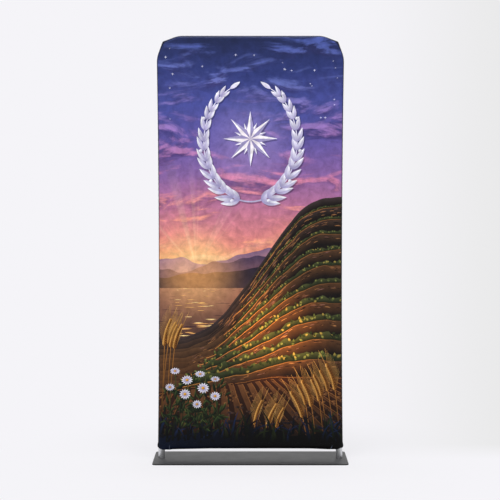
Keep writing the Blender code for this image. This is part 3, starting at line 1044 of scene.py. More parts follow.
def painted_fold_highlights():
    """Paler slips on the ridges at the hem: a painted highlight where each ridge catches the light, with the
    undyed yarn that the stretched knit shows there.
    """
    for crease in CREASES:
        if crease.face == -1 and crease.height > 0:
            reach = np.array([crease.reach_p, crease.reach_q])
            share = np.linspace(0.05, 0.75, 9)
            line = np.array([crease.p, crease.q]) + reach * share[:, None]
            widths = 1.1 * crease.width * np.sin(math.pi * np.linspace(0.04, 0.96, 9))
            yield shape(ribbon(line, widths), wash(line[0], line[-1], "#777f92", "#1d212c"))


def edging():
    """A dark band along the panel's seams, a little lighter towards the top."""
    stations = np.array(edge_stations())
    outer = stations[:, :2] + stations[:, 2:] * (WRAP + MM)
    inner = stations[:, :2] + stations[:, 2:] * (WRAP - EDGING_WIDTH)
    dark_band = wash((0, 0.2), (0, 1.8), "#101118", "#1c2136")
    return [Shape(counterclockwise([*outer, *inner[::-1]]), dark_band)]


def print_design(prints):
    """All shapes of the print, each drawn over those before it."""
    return [
        *hills(), *lake(), *terraces(), *field(), *clods(), *wheat(), *grasses(), *daisies(),
        *sparkles(), *over_shadow(laurel(prints)), *over_shadow(star(prints)), *painted_fold_highlights(), *edging(),
    ]


# Materials

# Inputs of a colour mix: how much of the second colour, the first colour and the second
SHARE, UNDER, OVER = 0, 6, 7
MIX = {"data_type": "RGBA"}
SCREEN = {"data_type": "RGBA", "blend_type": "SCREEN"}
EASED = {"interpolation_type": "SMOOTHSTEP"}

# The span that a noise's values fill, and the scale at which a wave texture has one wave to a unit
NOISE_SPAN = {"From Min": 0.3, "From Max": 0.7}
WAVE_TO_A_UNIT = 0.314


def add(tree, kind, inputs=None, **settings):
    """Adds a node with its settings and its inputs."""
    node = tree.nodes.new(kind)
    for name, value in settings.items():
        setattr(node, name, value)
    feed(tree, node, inputs or {})
    return node


def feed(tree, node, inputs):
    """Sets a node's inputs, or links them to a socket or to the first output that a node has in use."""
    for name, value in inputs.items():
        if isinstance(value, bpy.types.Node):
            value = next(socket for socket in value.outputs if socket.enabled)
        if isinstance(value, bpy.types.NodeSocket):
            tree.links.new(value, node.inputs[name])
        else:
            node.inputs[name].default_value = value


def new_material(name):
    """An empty material, its node tree and its shader."""
    made = bpy.data.materials.new(name)
    made.use_nodes = True
    tree = made.node_tree
    return made, tree, tree.nodes["Principled BSDF"]


def opaque(code):
    """Linear colour and full cover of an sRGB hex value."""
    return (*linear(code), 1.0)


def set_stops(ramp, stops):
    """Fills a colour ramp from places and hex values."""
    elements = ramp.color_ramp.elements
    while len(elements) < len(stops):
        elements.new(0.5)
    for element, (place, code) in zip(elements, stops):
        element.position = place
        element.color = opaque(code)


def pool(tree, place, centre, inner, outer, most, easing="SMOOTHERSTEP"):
    """A share that is highest within a distance of a point of the cut and fades away from it."""
    away = add(tree, "ShaderNodeVectorMath", {0: place, 1: (*centre, 0.0)}, operation="DISTANCE")
    span = {"From Min": outer, "From Max": inner, "To Max": most}
    return add(tree, "ShaderNodeMapRange", {"Value": away, **span}, interpolation_type=easing)


def knit_bump(tree, shader, place, pitch, strength):
    """Knitted loops: ribs across the cloth, broken up along their length."""
    cross = add(tree, "ShaderNodeMapping", {"Vector": place, "Scale": (1 / pitch, 0.62 / pitch, 1.0)})
    waves = []
    for direction in "XY":
        wave = add(tree, "ShaderNodeTexWave", {"Vector": cross, "Scale": WAVE_TO_A_UNIT, "Distortion": 0.0},
                   wave_type="BANDS", bands_direction=direction, wave_profile="SIN")
        waves.append(wave.outputs["Fac"])
    loops = add(tree, "ShaderNodeMath", {0: waves[0], 1: waves[1]}, operation="MULTIPLY")
    slub = add(tree, "ShaderNodeTexNoise", {"Vector": place, "Scale": 180.0, "Detail": 3.0})
    height = add(tree, "ShaderNodeMath", {0: slub, 1: 0.5, 2: loops}, operation="MULTIPLY_ADD")
    bump = add(tree, "ShaderNodeBump", {"Height": height, "Strength": strength, "Distance": 0.15 * MM})
    feed(tree, shader, {"Normal": bump})
    return loops


# The printed sky: its foot and top on the cut, how much its bands sway, the colours of the clear sky,
# of a cloud's dark side and of its lit side from the foot up, and the clouds' slant and grain
SKY_FOOT = 0.88
SKY_TOP = 2.09
SKY_SWAY = 0.22
CLEAR_SKY = (
    (0.0, "#f7c283"), (0.08, "#f2ad7c"), (0.18, "#e08f88"), (0.30, "#b97a9c"), (0.42, "#8d6ba4"),
    (0.56, "#6b5fa4"), (0.70, "#4f559a"), (0.85, "#343f78"), (1.0, "#222c50"),
)
CLOUD_DARK = ((0.0, "#c47a6c"), (0.20, "#9c5f7c"), (0.40, "#6d4a80"), (0.60, "#4a4480"), (1.0, "#262f58"))
CLOUD_LIT = (
    (0.0, "#ffd59c"), (0.20, "#f6a98c"), (0.40, "#d68aa8"), (0.60, "#a07cba"), (0.80, "#6a74b4"),
    (1.0, "#4a5a9c"),
)
CLOUD_SLANT = {"Rotation": (0, 0, math.radians(-14)), "Scale": (1.5, 5.0, 1.0)}
CLOUD_GRAIN = {"Scale": 1.9, "Detail": 9.0, "Roughness": 0.58, "Distortion": 0.7}
TOWARDS_LIGHT = (0.05, 0.11, 0.0)

# How much brighter, in each colour, the sunlit part of the slope is
SUNLIGHT = (3.6, 2.5, 1.5, 1)


def evening_sky(tree, place):
    """The sky of the print: dusk blue down to amber, streaked cloud and rays from the lake's glow."""
    height = add(tree, "ShaderNodeSeparateXYZ", {"Vector": place}).outputs["Y"]
    rise = add(tree, "ShaderNodeMapRange", {"Value": height, "From Min": SKY_FOOT, "From Max": SKY_TOP})
    bow = add(tree, "ShaderNodeTexNoise", {"Vector": place, "Scale": 1.7, "Detail": 2.0})
    swayed = add(tree, "ShaderNodeMath", {0: bow, 1: SKY_SWAY, 2: rise}, operation="MULTIPLY_ADD")
    level = add(tree, "ShaderNodeMath", {0: swayed, 1: SKY_SWAY / 2}, operation="SUBTRACT")
    bands = []
    for stops in (CLEAR_SKY, CLOUD_DARK, CLOUD_LIT):
        bands.append(add(tree, "ShaderNodeValToRGB", {"Fac": level}))
        set_stops(bands[-1], stops)
    clear, dark, light = bands
    body, lit = clouds(tree, place)
    puff = add(tree, "ShaderNodeMix", {SHARE: lit, UNDER: dark, OVER: light}, **MIX)
    clouded = add(tree, "ShaderNodeMix", {SHARE: body, UNDER: clear, OVER: puff}, **MIX)
    rays = sky_rays(tree, place)
    rayed = add(tree, "ShaderNodeMix", {SHARE: rays, UNDER: clouded, OVER: opaque("#ffd9a0")}, **SCREEN)
    halo = pool(tree, place, WREATH, 0.0, 0.30, 0.20, "SMOOTHSTEP")
    return add(tree, "ShaderNodeMix", {SHARE: halo, UNDER: rayed, OVER: opaque("#c9b4e6")}, **SCREEN)


def clouds(tree, place):
    """Streaked clouds: the share of the sky that they cover, and how far each place on them is lit."""
    slant = add(tree, "ShaderNodeMapping", {"Vector": place, **CLOUD_SLANT})
    moved = add(tree, "ShaderNodeVectorMath", {0: slant, 1: TOWARDS_LIGHT}, operation="ADD")
    cloud = add(tree, "ShaderNodeTexNoise", {"Vector": slant, **CLOUD_GRAIN})
    ahead = add(tree, "ShaderNodeTexNoise", {"Vector": moved, **CLOUD_GRAIN})
    body = add(tree, "ShaderNodeMapRange", {"Value": cloud, "From Min": 0.47, "From Max": 0.64}, **EASED)
    # Lit where the cloud is thinner a little way towards the light
    slope = add(tree, "ShaderNodeMath", {0: cloud, 1: ahead}, operation="SUBTRACT")
    lit = add(tree, "ShaderNodeMapRange", {"Value": slope, "From Min": -0.05, "From Max": 0.09}, **EASED)
    return body, lit


def sky_rays(tree, place):
    """Faint rays that fan out from the glow, as a share of light."""
    away = add(tree, "ShaderNodeVectorMath", {0: place, 1: (*GLOW, 0.0)}, operation="SUBTRACT")
    parts = add(tree, "ShaderNodeSeparateXYZ", {"Vector": away}).outputs
    angle = add(tree, "ShaderNodeMath", {0: parts["Y"], 1: parts["X"]}, operation="ARCTAN2")
    fan = add(tree, "ShaderNodeTexNoise", {"W": angle, "Scale": 4.2, "Detail": 3.0}, noise_dimensions="1D")
    beam = add(tree, "ShaderNodeMapRange", {"Value": fan, "From Min": 0.50, "From Max": 0.66}, **EASED)
    reach = add(tree, "ShaderNodeVectorMath", {0: away}, operation="LENGTH")
    span = {"From Min": 0.62, "From Max": 0.06, "To Max": 0.20}
    fade = add(tree, "ShaderNodeMapRange", {"Value": reach, **span}, **EASED)
    return add(tree, "ShaderNodeMath", {0: beam, 1: fade}, operation="MULTIPLY")


def low_sun(tree, place, drawn):
    """The drawn picture in the light of its low sun: a haze round the glow, a bright patch on the slope."""
    haze = pool(tree, place, GLOW, 0.0, 0.30, 0.55)
    hazed = add(tree, "ShaderNodeMix", {SHARE: haze, UNDER: drawn, OVER: opaque("#ffb968")}, **SCREEN)
    patch = pool(tree, place, SUNLIT_SLOPE, 0.04, 0.33, 1.0)
    light = add(tree, "ShaderNodeMix", {SHARE: patch, UNDER: (1, 1, 1, 1), OVER: SUNLIGHT}, **MIX)
    return add(tree, "ShaderNodeMix", {SHARE: 1.0, UNDER: hazed, OVER: light}, **MIX, blend_type="MULTIPLY")


# The matt surface of the knit, printed or plain
CLOTH_SURFACE = {
    "Roughness": 0.52, "Specular IOR Level": 0.12, "Sheen Weight": 0.04, "Sheen Roughness": 0.45,
}


def printed_knit(cloth):
    """Dye-printed stretch polyester knit: matt, with the ink in the yarn and a faint sheen of filament."""
    made, tree, shader = new_material("Printed polyester knit")
    place = add(tree, "ShaderNodeUVMap", uv_map=CUT_MAP)
    ink = add(tree, "ShaderNodeAttribute", attribute_name=INK, attribute_type="GEOMETRY").outputs
    sky = evening_sky(tree, place)
    drawn = add(tree, "ShaderNodeMix", {SHARE: ink["Alpha"], UNDER: sky, OVER: ink["Color"]}, **MIX)
    broad = add(tree, "ShaderNodeTexNoise",
                {"Vector": place, "Scale": 26.0, "Detail": 6.0, "Roughness": 0.62, "Distortion": 0.4})
    span = {"From Min": 0.28, "From Max": 0.72, "To Min": 0.74, "To Max": 1.24}
    grain = add(tree, "ShaderNodeMapRange", {"Value": broad, **span})
    loops = knit_bump(tree, shader, place, cloth.knit_pitch, 0.5)
    shadow = add(tree, "ShaderNodeMapRange", {"Value": loops, "To Min": 0.93, "To Max": 1.03})
    tone = add(tree, "ShaderNodeMath", {0: grain, 1: shadow}, operation="MULTIPLY")
    deep = add(tree, "ShaderNodeGamma", {"Color": low_sun(tree, place, drawn), "Gamma": 1.12})
    inked = add(tree, "ShaderNodeVectorMath", {0: deep, "Scale": tone}, operation="SCALE")
    feed(tree, shader, {"Base Color": inked, **CLOTH_SURFACE})
    return made


def plain_knit(name, colour, cloth):
    """The same knit dyed one colour, a little uneven as dyed cloth is."""
    made, tree, shader = new_material(name)
    place = add(tree, "ShaderNodeUVMap", uv_map=CUT_MAP)
    loops = knit_bump(tree, shader, place, cloth.knit_pitch, 0.6)
    dye = add(tree, "ShaderNodeTexNoise", {"Vector": place, "Scale": 5.0, "Detail": 6.0, "Roughness": 0.6})
    uneven = add(tree, "ShaderNodeMapRange", {"Value": dye, **NOISE_SPAN, "To Min": 0.86, "To Max": 1.14})
    shadow = add(tree, "ShaderNodeMapRange", {"Value": loops, "To Min": 0.80, "To Max": 1.10})
    tone = add(tree, "ShaderNodeMath", {0: uneven, 1: shadow}, operation="MULTIPLY")
    dyed = add(tree, "ShaderNodeVectorMath", {0: tuple(colour), "Scale": tone}, operation="SCALE")
    feed(tree, shader, {"Base Color": dyed, **CLOTH_SURFACE})
    return made


def reverse_knit(cloth):
    """The unprinted inner side, one material for both panels."""
    name = "Unprinted polyester knit"
    return bpy.data.materials.get(name) or plain_knit(name, cloth.reverse_colour, cloth)


def sewing_thread(colour):
    """Spun polyester thread: matt, with painted light and shade along its twist."""
    made, tree, shader = new_material("Spun polyester thread")
    place = add(tree, "ShaderNodeTexCoord").outputs["Object"]
    twist = add(tree, "ShaderNodeTexWave", {"Vector": place, "Scale": 900.0},
                wave_type="BANDS", bands_direction="DIAGONAL").outputs["Fac"]
    tone = add(tree, "ShaderNodeMapRange", {"Value": twist, "To Min": 0.65, "To Max": 1.25})
    spun = add(tree, "ShaderNodeVectorMath", {0: tuple(colour), "Scale": tone}, operation="SCALE")
    feed(tree, shader, {"Base Color": spun, "Roughness": 0.62})
    return made


def anodised_aluminium(colour):
    """Extruded aluminium tube, satin anodised: fine lines along the tube and a soft, even gloss."""
    made, tree, shader = new_material("Anodised aluminium tube")
    place = add(tree, "ShaderNodeTexCoord").outputs["Object"]
    drawn = add(tree, "ShaderNodeMapping", {"Vector": place, "Scale": (1400.0, 1400.0, 9.0)})
    lines = add(tree, "ShaderNodeTexNoise", {"Vector": drawn, "Scale": 1.0, "Detail": 4.0, "Roughness": 0.7})
    hands = add(tree, "ShaderNodeTexNoise",
                {"Vector": place, "Scale": 60.0, "Detail": 5.0, "Roughness": 0.65})
    tone = add(tree, "ShaderNodeMapRange", {"Value": lines, **NOISE_SPAN, "To Min": 0.90, "To Max": 1.06})
    gloss = add(tree, "ShaderNodeMapRange", {"Value": hands, **NOISE_SPAN, "To Min": 0.34, "To Max": 0.46})
    metal = add(tree, "ShaderNodeVectorMath", {0: tuple(colour), "Scale": tone}, operation="SCALE")
    bump = add(tree, "ShaderNodeBump", {"Height": lines, "Strength": 0.25, "Distance": 0.03 * MM})
    feed(tree, shader, {"Base Color": metal, "Metallic": 1.0, "Roughness": gloss, "Normal": bump})
    return made


def powder_coat(metal):
    """Steel plate with a powder coat: even grey, pebbled at a grain's size, with painted shade on its edges.
    """
    made, tree, shader = new_material("Powder-coated steel")
    place = add(tree, "ShaderNodeTexCoord").outputs["Object"]
    grit = add(tree, "ShaderNodeTexVoronoi", {"Vector": place, "Scale": 1 / metal.grit_size}, feature="F1")
    speck = add(tree, "ShaderNodeTexNoise", {"Vector": place, "Scale": 0.5 / metal.grit_size, "Detail": 3.0})
    dust = add(tree, "ShaderNodeTexNoise", {"Vector": place, "Scale": 9.0, "Detail": 6.0, "Roughness": 0.65})
    tone = add(tree, "ShaderNodeMapRange", {"Value": dust, **NOISE_SPAN, "To Min": 0.90, "To Max": 1.12})
    gloss = add(tree, "ShaderNodeMapRange", {"Value": dust, **NOISE_SPAN, "To Min": 0.36, "To Max": 0.46})
    span = {"From Min": 0.35, "From Max": 0.65, "To Min": 0.88, "To Max": 1.10}
    fleck = add(tree, "ShaderNodeMapRange", {"Value": speck, **span})
    both = add(tree, "ShaderNodeMath", {0: tone, 1: fleck}, operation="MULTIPLY")
    bump = add(tree, "ShaderNodeBump", {"Height": grit, "Strength": 0.35, "Distance": 0.12 * MM})
    # Painted shade: faces that look sideways, as the plate's edges do, are made darker and duller than the
    # top
    normal = add(tree, "ShaderNodeNewGeometry").outputs["Normal"]
    upward = {"Value": add(tree, "ShaderNodeSeparateXYZ", {"Vector": normal}).outputs["Z"]}
    upward.update({"From Min": 0.3, "From Max": 0.9})
    shine = add(tree, "ShaderNodeMapRange", {**upward, "To Min": 0.0, "To Max": 0.62})
    shade = add(tree, "ShaderNodeMapRange", {**upward, "To Min": 0.10})
    shaded = add(tree, "ShaderNodeMath", {0: both, 1: shade}, operation="MULTIPLY")
    grey = tuple(metal.coat_colour)
    coat = add(tree, "ShaderNodeVectorMath", {0: grey, "Scale": shaded}, operation="SCALE")
    feed(tree, shader, {"Base Color": coat, "Specular IOR Level": shine, "Roughness": gloss, "Normal": bump})
    return made


def zinc_plate():
    """Zinc-plated steel: pale, cloudy and softly bright."""
    made, tree, shader = new_material("Zinc-plated steel")
    place = add(tree, "ShaderNodeTexCoord").outputs["Object"]
    cloudy = add(tree, "ShaderNodeTexNoise", {"Vector": place, "Scale": 150.0, "Detail": 4.0})
    tone = add(tree, "ShaderNodeValToRGB", {"Fac": cloudy})
    set_stops(tone, ((0.3, "#9a9a98"), (0.7, "#bdbdb9")))
    feed(tree, shader, {"Base Color": tone, "Metallic": 1.0, "Roughness": 0.42})
    return made


# Settings that a user would change

Number = bpy.props.FloatProperty
Length = partial(Number, unit="LENGTH")
Power = partial(Number, unit="POWER")
Colour = partial(bpy.props.FloatVectorProperty, subtype="COLOR", size=3, min=0, max=1)


class BannerCloth(bpy.types.PropertyGroup):
    thickness: Length(name="Thickness", description="Thickness of the hung cloth", default=0.0012)
    slack: Length(name="Slack", description="Depth of the broad unevenness", default=0.0011)
    pucker_depth: Length(
        name="Pucker depth", description="Height of the puckers along the seams", default=0.00035
    )
    pucker_spacing: Length(name="Pucker spacing", description="Distance between puckers", default=0.027)
    knit_pitch: Length(
        name="Knit pitch",
        description="Width of one knitted rib, drawn coarser than the real 0.5 mm so that it shows",
        default=0.0016,
    )
    stitch_length: Length(name="Stitch length", description="Length of one hem stitch", default=0.0030)
    stitch_pitch: Length(name="Stitch pitch", description="Distance from stitch to stitch", default=0.0040)
    thread_width: Length(name="Thread width", description="Thickness of the sewing thread", default=0.0006)
    back_colour: Colour(
        name="Back colour", description="Colour of the plain back panel", default=linear("#232a4a")
    )
    reverse_colour: Colour(
        name="Reverse colour", description="Colour of the cloth's inner side", default=linear("#8f8f9a")
    )
    thread_colour: Colour(
        name="Thread colour", description="Colour of the sewing thread", default=linear("#1a1c28")
    )


class BannerPrint(bpy.types.PropertyGroup):
    wreath_width: Length(
        name="Wreath width", description="Width of the laurel wreath across its stems", default=0.46
    )
    wreath_height: Length(
        name="Wreath height", description="Height of the laurel wreath along its stems", default=0.58
    )
    star_size: Length(
        name="Star size", description="Distance across the star inside the wreath", default=0.27
    )


class BannerMetal(bpy.types.PropertyGroup):
    tube_diameter: Length(
        name="Tube diameter", description="Outer diameter of the uprights", default=TUBE_DIAMETER
    )
    tube_wall: Length(name="Tube wall", description="Wall of the tube", default=0.0015)
    plate_edge: Length(name="Plate edge", description="Round on the plate's edges", default=0.0009)
    grit_size: Length(name="Grit size", description="Size of the powder coat's grain", default=0.0011)
    tube_colour: Colour(
        name="Tube colour", description="Colour of the anodised aluminium", default=linear("#d2d3d5")
    )
    coat_colour: Colour(
        name="Coat colour", description="Colour of the powder coat", default=linear("#39393b")
    )


class BannerStage(bpy.types.PropertyGroup):
    floor_colour: Colour(
        name="Floor colour", description="Colour of the studio floor", default=linear("#e6e6e8")
    )
    background: Colour(
        name="Background", description="Colour behind the banner", default=linear("#f5f4f8")
    )
    # Colour of the painted shade on the background right of the banner
    background_painted_shade: Colour(
        name="Background at right", description="Colour that the background fades to at the right",
        default=linear("#e8e8e8"),
    )
    surround_light: Number(
        name="Surround light", description="Strength of the light from all round", default=0.62
    )
    key_power: Power(name="Key power", description="Power of the large lamp at the left", default=96.0)
    fill_power: Power(name="Fill power", description="Power of the large lamp at the right", default=50.0)
    top_power: Power(name="Top power", description="Power of the lamp above the banner", default=95.0)
    camera_distance: Length(
        name="Camera distance", description="From the camera to the frame's tubes", default=6.512
    )
    camera_height: Length(
        name="Camera height", description="Height of the camera above the floor", default=1.424
    )
    lens: Number(
        name="Lens", description="Focal length in millimetres on a 36 mm sensor", default=95.385,
        unit="CAMERA",
    )
    shift_up: Number(
        name="Shift up", description="Vertical lens shift as a share of the frame", default=-0.0363
    )
    shift_across: Number(
        name="Shift across", description="Sideways lens shift as a share of the frame", default=-0.0008
    )
    tilt: Number(
        name="Tilt", description="How far the camera looks down", default=math.radians(2.62), subtype="ANGLE"
    )


# Pieces

def finish_piece(piece, slot, *nodes):
    """Puts a finished piece on the frame, in place of the nodes that it stands for."""
    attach(piece, "root")
    if nodes:
        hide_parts(*nodes)


class BANNER_OT_front_cloth(bpy.types.Operator):
    """Cuts, prints and hangs the front panel"""

    bl_idname = "banner.front_cloth"
    bl_label = "Front Cloth"

    def execute(self, context):
        cloth = context.scene.banner_cloth
        reverse = reverse_knit(cloth)
        shapes = print_design(context.scene.banner_print)
        panel = add_cloth("front_cloth", -1, shapes, printed_knit(cloth), reverse, cloth)
        finish_piece(panel, "front_print", "front_panel")
        return {"FINISHED"}


class BANNER_OT_back_cloth(bpy.types.Operator):
    """Cuts and hangs the plain back panel"""

    bl_idname = "banner.back_cloth"
    bl_label = "Back Cloth"

    def execute(self, context):
        cloth = context.scene.banner_cloth
        dyed = plain_knit("Dyed polyester knit", cloth.back_colour, cloth)
        panel = add_cloth("back_cloth", 1, [], dyed, reverse_knit(cloth), cloth)
        finish_piece(panel, "back_print", "back_panel")
        return {"FINISHED"}


class BANNER_OT_stitching(bpy.types.Operator):
    """Sews two rows of stitches above the hem of each panel"""

    bl_idname = "banner.stitching"
    bl_label = "Hem Stitching"

    def execute(self, context):
        cloth = context.scene.banner_cloth
        thread = sewing_thread(cloth.thread_colour)
        points, faces = stitch_form(cloth)
        for side, face in (("front", -1), ("back", 1)):
            piece = add_stitches("hem_stitching_" + side, face, points, faces, cloth)
            piece.data.materials.append(thread)
            finish_piece(piece, side + "_print")
        return {"FINISHED"}


def stitch_form(cloth):
    """One stitch, modelled once: its points and faces along X, lying on Z = 0."""
    bpy.ops.mesh.primitive_uv_sphere_add(segments=6, ring_count=6, radius=0.5, rotation=(0, math.pi / 2, 0))
    form = bpy.context.object
    form.scale = (cloth.stitch_length, cloth.thread_width, cloth.thread_width)
    bpy.ops.object.transform_apply(location=True, rotation=True, scale=True)
    points = np.array([vertex.co for vertex in form.data.vertices])
    faces = [list(polygon.vertices) for polygon in form.data.polygons]
    bpy.data.objects.remove(form, do_unlink=True)
    return points, faces


def add_stitches(name, face, points, faces, cloth):
    """Copies of the stitch along each row, pulled a little into the cloth at both ends."""
    reach = TUBE_X + 0.3 * WRAP
    count = round(2 * reach / cloth.stitch_pitch)
    p = np.tile(np.linspace(-reach, reach, count), len(STITCH_ROWS))
    q = np.repeat(STITCH_ROWS, count)
    middle_place, normals = hang(p, q, face, cloth), hang_normals(p, q, face, cloth)
    along = hang(p + MM, q, face, cloth) - hang(p - MM, q, face, cloth)
    along /= np.linalg.norm(along, axis=1, keepdims=True)
    up = np.cross(along, normals)
    sink = -2.0 * cloth.thread_width * (points[:, 0] / cloth.stitch_length) ** 2
    height = points[:, 2] + sink + 0.2 * cloth.thread_width
    placed = (
        middle_place[:, None] + along[:, None] * points[None, :, :1]
        + up[:, None] * points[None, :, 1:2] + normals[:, None] * height[None, :, None]
    )
    made = [[corner + len(points) * step for corner in each] for step in range(len(p)) for each in faces]
    mesh = bpy.data.meshes.new(name)
    mesh.from_pydata(placed.reshape(-1, 3).tolist(), [], made)
    bm = bmesh.new()
    bm.from_mesh(mesh)
    bmesh.ops.recalc_face_normals(bm, faces=bm.faces)
    bm.to_mesh(mesh)
    bm.free()
    mesh.shade_smooth()
    return add_piece(name, mesh)


class BANNER_OT_uprights(bpy.types.Operator):
    """Draws the two uprights as fine tubes, bowed as the cloth pulls them"""

    bl_idname = "banner.uprights"
    bl_label = "Uprights"

    def execute(self, context):
        metal = context.scene.banner_metal
        finish = anodised_aluminium(metal.tube_colour)
        for name, side in (("upright_left", -1), ("upright_right", 1)):
            tube = add_upright(side, metal)
            tube.name = tube.data.name = "fine_" + name
            tube.data.materials.append(finish)
            finish_piece(tube, "aluminium_tube", name)
        for name in FRAME_TUBES:
            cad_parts[name].material_slots[0].material = finish
        plating = zinc_plate()
        for name in ("peg_left", "peg_right"):
            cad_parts[name].material_slots[0].material = plating
        return {"FINISHED"}


# Where the bow of an upright starts, and the rings that it is drawn through
BOW_START = 0.09
BOW_STEPS = 26


def add_upright(side, metal):
    """A ring extruded up the bow of the upright, then given its wall and soft ends."""
    foot = (side * TUBE_X, 0, TUBE_FOOT)
    bpy.ops.mesh.primitive_circle_add(
        vertices=64, radius=metal.tube_diameter / 2, fill_type="NOTHING", location=foot
    )
    tube = bpy.context.object
    bpy.ops.object.transform_apply(location=True, rotation=False, scale=False)
    bpy.ops.object.mode_set(mode="EDIT")
    bpy.ops.mesh.select_all(action="SELECT")
    heights = [TUBE_FOOT, *np.linspace(BOW_START, TUBE_TOP, BOW_STEPS)]
    for low, high in zip(heights, heights[1:]):
        inward = float(waist(high) - waist(low))
        bpy.ops.mesh.extrude_region_move(TRANSFORM_OT_translate={"value": (-side * inward, 0, high - low)})
    bpy.ops.mesh.select_all(action="SELECT")
    bpy.ops.mesh.normals_make_consistent(inside=False)
    bpy.ops.object.mode_set(mode="OBJECT")
    wall = tube.modifiers.new("Wall", "SOLIDIFY")
    wall.thickness = metal.tube_wall
    wall.offset = -1
    bpy.ops.object.modifier_apply(modifier=wall.name)
    soften = tube.modifiers.new("Soft ends", "BEVEL")
    soften.width = 0.3 * MM
    soften.segments = 2
    soften.angle_limit = math.radians(60)
    bpy.ops.object.modifier_apply(modifier=soften.name)
    bpy.ops.object.shade_smooth_by_angle(angle=math.radians(35))
    return tube


class BANNER_OT_base_plate(bpy.types.Operator):
    """Makes the powder-coated base plate with round corners and soft edges"""

    bl_idname = "banner.base_plate"
    bl_label = "Base Plate"

    def execute(self, context):
        metal = context.scene.banner_metal
        size = node_size("base_plate")
        bpy.ops.mesh.primitive_cube_add(size=1, location=middle("base_plate"), scale=size)
        plate = context.object
        plate.name = plate.data.name = "fine_base_plate"
        bpy.ops.object.transform_apply(location=True, rotation=True, scale=True)
        bevel_edges(plate, lambda low, high: high.z - low.z > PLATE_TOP / 2, PLATE_CORNER, 14)
        bevel_edges(plate, lambda low, high: high.z - low.z < PLATE_TOP / 2, metal.plate_edge, 3)
        bpy.ops.object.shade_smooth_by_angle(angle=math.radians(40))
        plate.data.materials.append(powder_coat(metal))
        finish_piece(plate, "coated_plate", "base_plate")
        return {"FINISHED"}


def bevel_edges(piece, wanted, offset, segments):
    """Rounds the edges whose lower and upper ends pass a test."""
    bpy.ops.object.mode_set(mode="EDIT")
    bpy.ops.mesh.select_mode(type="EDGE")
    bpy.ops.mesh.select_all(action="DESELECT")
    bm = bmesh.from_edit_mesh(piece.data)
    for edge in bm.edges:
        low, high = sorted((vertex.co for vertex in edge.verts), key=lambda place: place.z)
        edge.select_set(wanted(low, high))
    bmesh.update_edit_mesh(piece.data)
    bpy.ops.mesh.bevel(offset=offset, segments=segments, affect="EDGES")
    bpy.ops.object.mode_set(mode="OBJECT")


# Lamps: name, place, the place that each faces, its size and the setting with its power
LAMPS = (
    ("Key lamp", (-2.6, -4.6, 3.0), (0, 0, 1.0), 2.6, "key_power"),
    ("Fill lamp", (2.8, -4.8, 2.2), (0, 0, 1.0), 2.6, "fill_power"),
    ("Top lamp", (0, -0.25, 4.3), (0, 0, 2.0), 1.5, "top_power"),
)
FLOOR_RADIUS = 60.0


class BANNER_OT_stage(bpy.types.Operator):
    """Sets up the pale floor, the studio light and the camera"""

    bl_idname = "banner.stage"
    bl_label = "Studio"

    def execute(self, context):
        stage = context.scene.banner_stage
        add_floor(stage)
        light_world(stage)
        for name, place, target, size, power in LAMPS:
            add_lamp(name, place, target, size, getattr(stage, power))
        add_camera(stage)
        context.scene.view_settings.view_transform = "Standard"
        return {"FINISHED"}


def background_with_painted_shade(tree, across, ahead, share_seen, stage):
    """The background's colour, with painted shade that makes it greyer right of the banner, as a soft shadow
    on a wall would, and plain again far to the side and near by.
    """
    side = add(tree, "ShaderNodeMath", {0: across, 1: ahead}, operation="DIVIDE")
    right = add(tree, "ShaderNodeMapRange", {"Value": side, "From Min": 0.06, "From Max": 0.23}, **EASED)
    span = {"From Min": 0.35, "From Max": 0.9, "To Min": 1.0, "To Max": 0.0}
    far_right = add(tree, "ShaderNodeMapRange", {"Value": side, **span}, **EASED)
    near = add(tree, "ShaderNodeMath", {0: right, 1: far_right}, operation="MULTIPLY")
    shaded = add(tree, "ShaderNodeMath", {0: near, 1: share_seen}, operation="MULTIPLY")
    tone = add(tree, "ShaderNodeValToRGB", {"Fac": shaded})
    for element, colour in zip(tone.color_ramp.elements, (stage.background, stage.background_painted_shade)):
        element.color = (*colour, 1)
    return tone


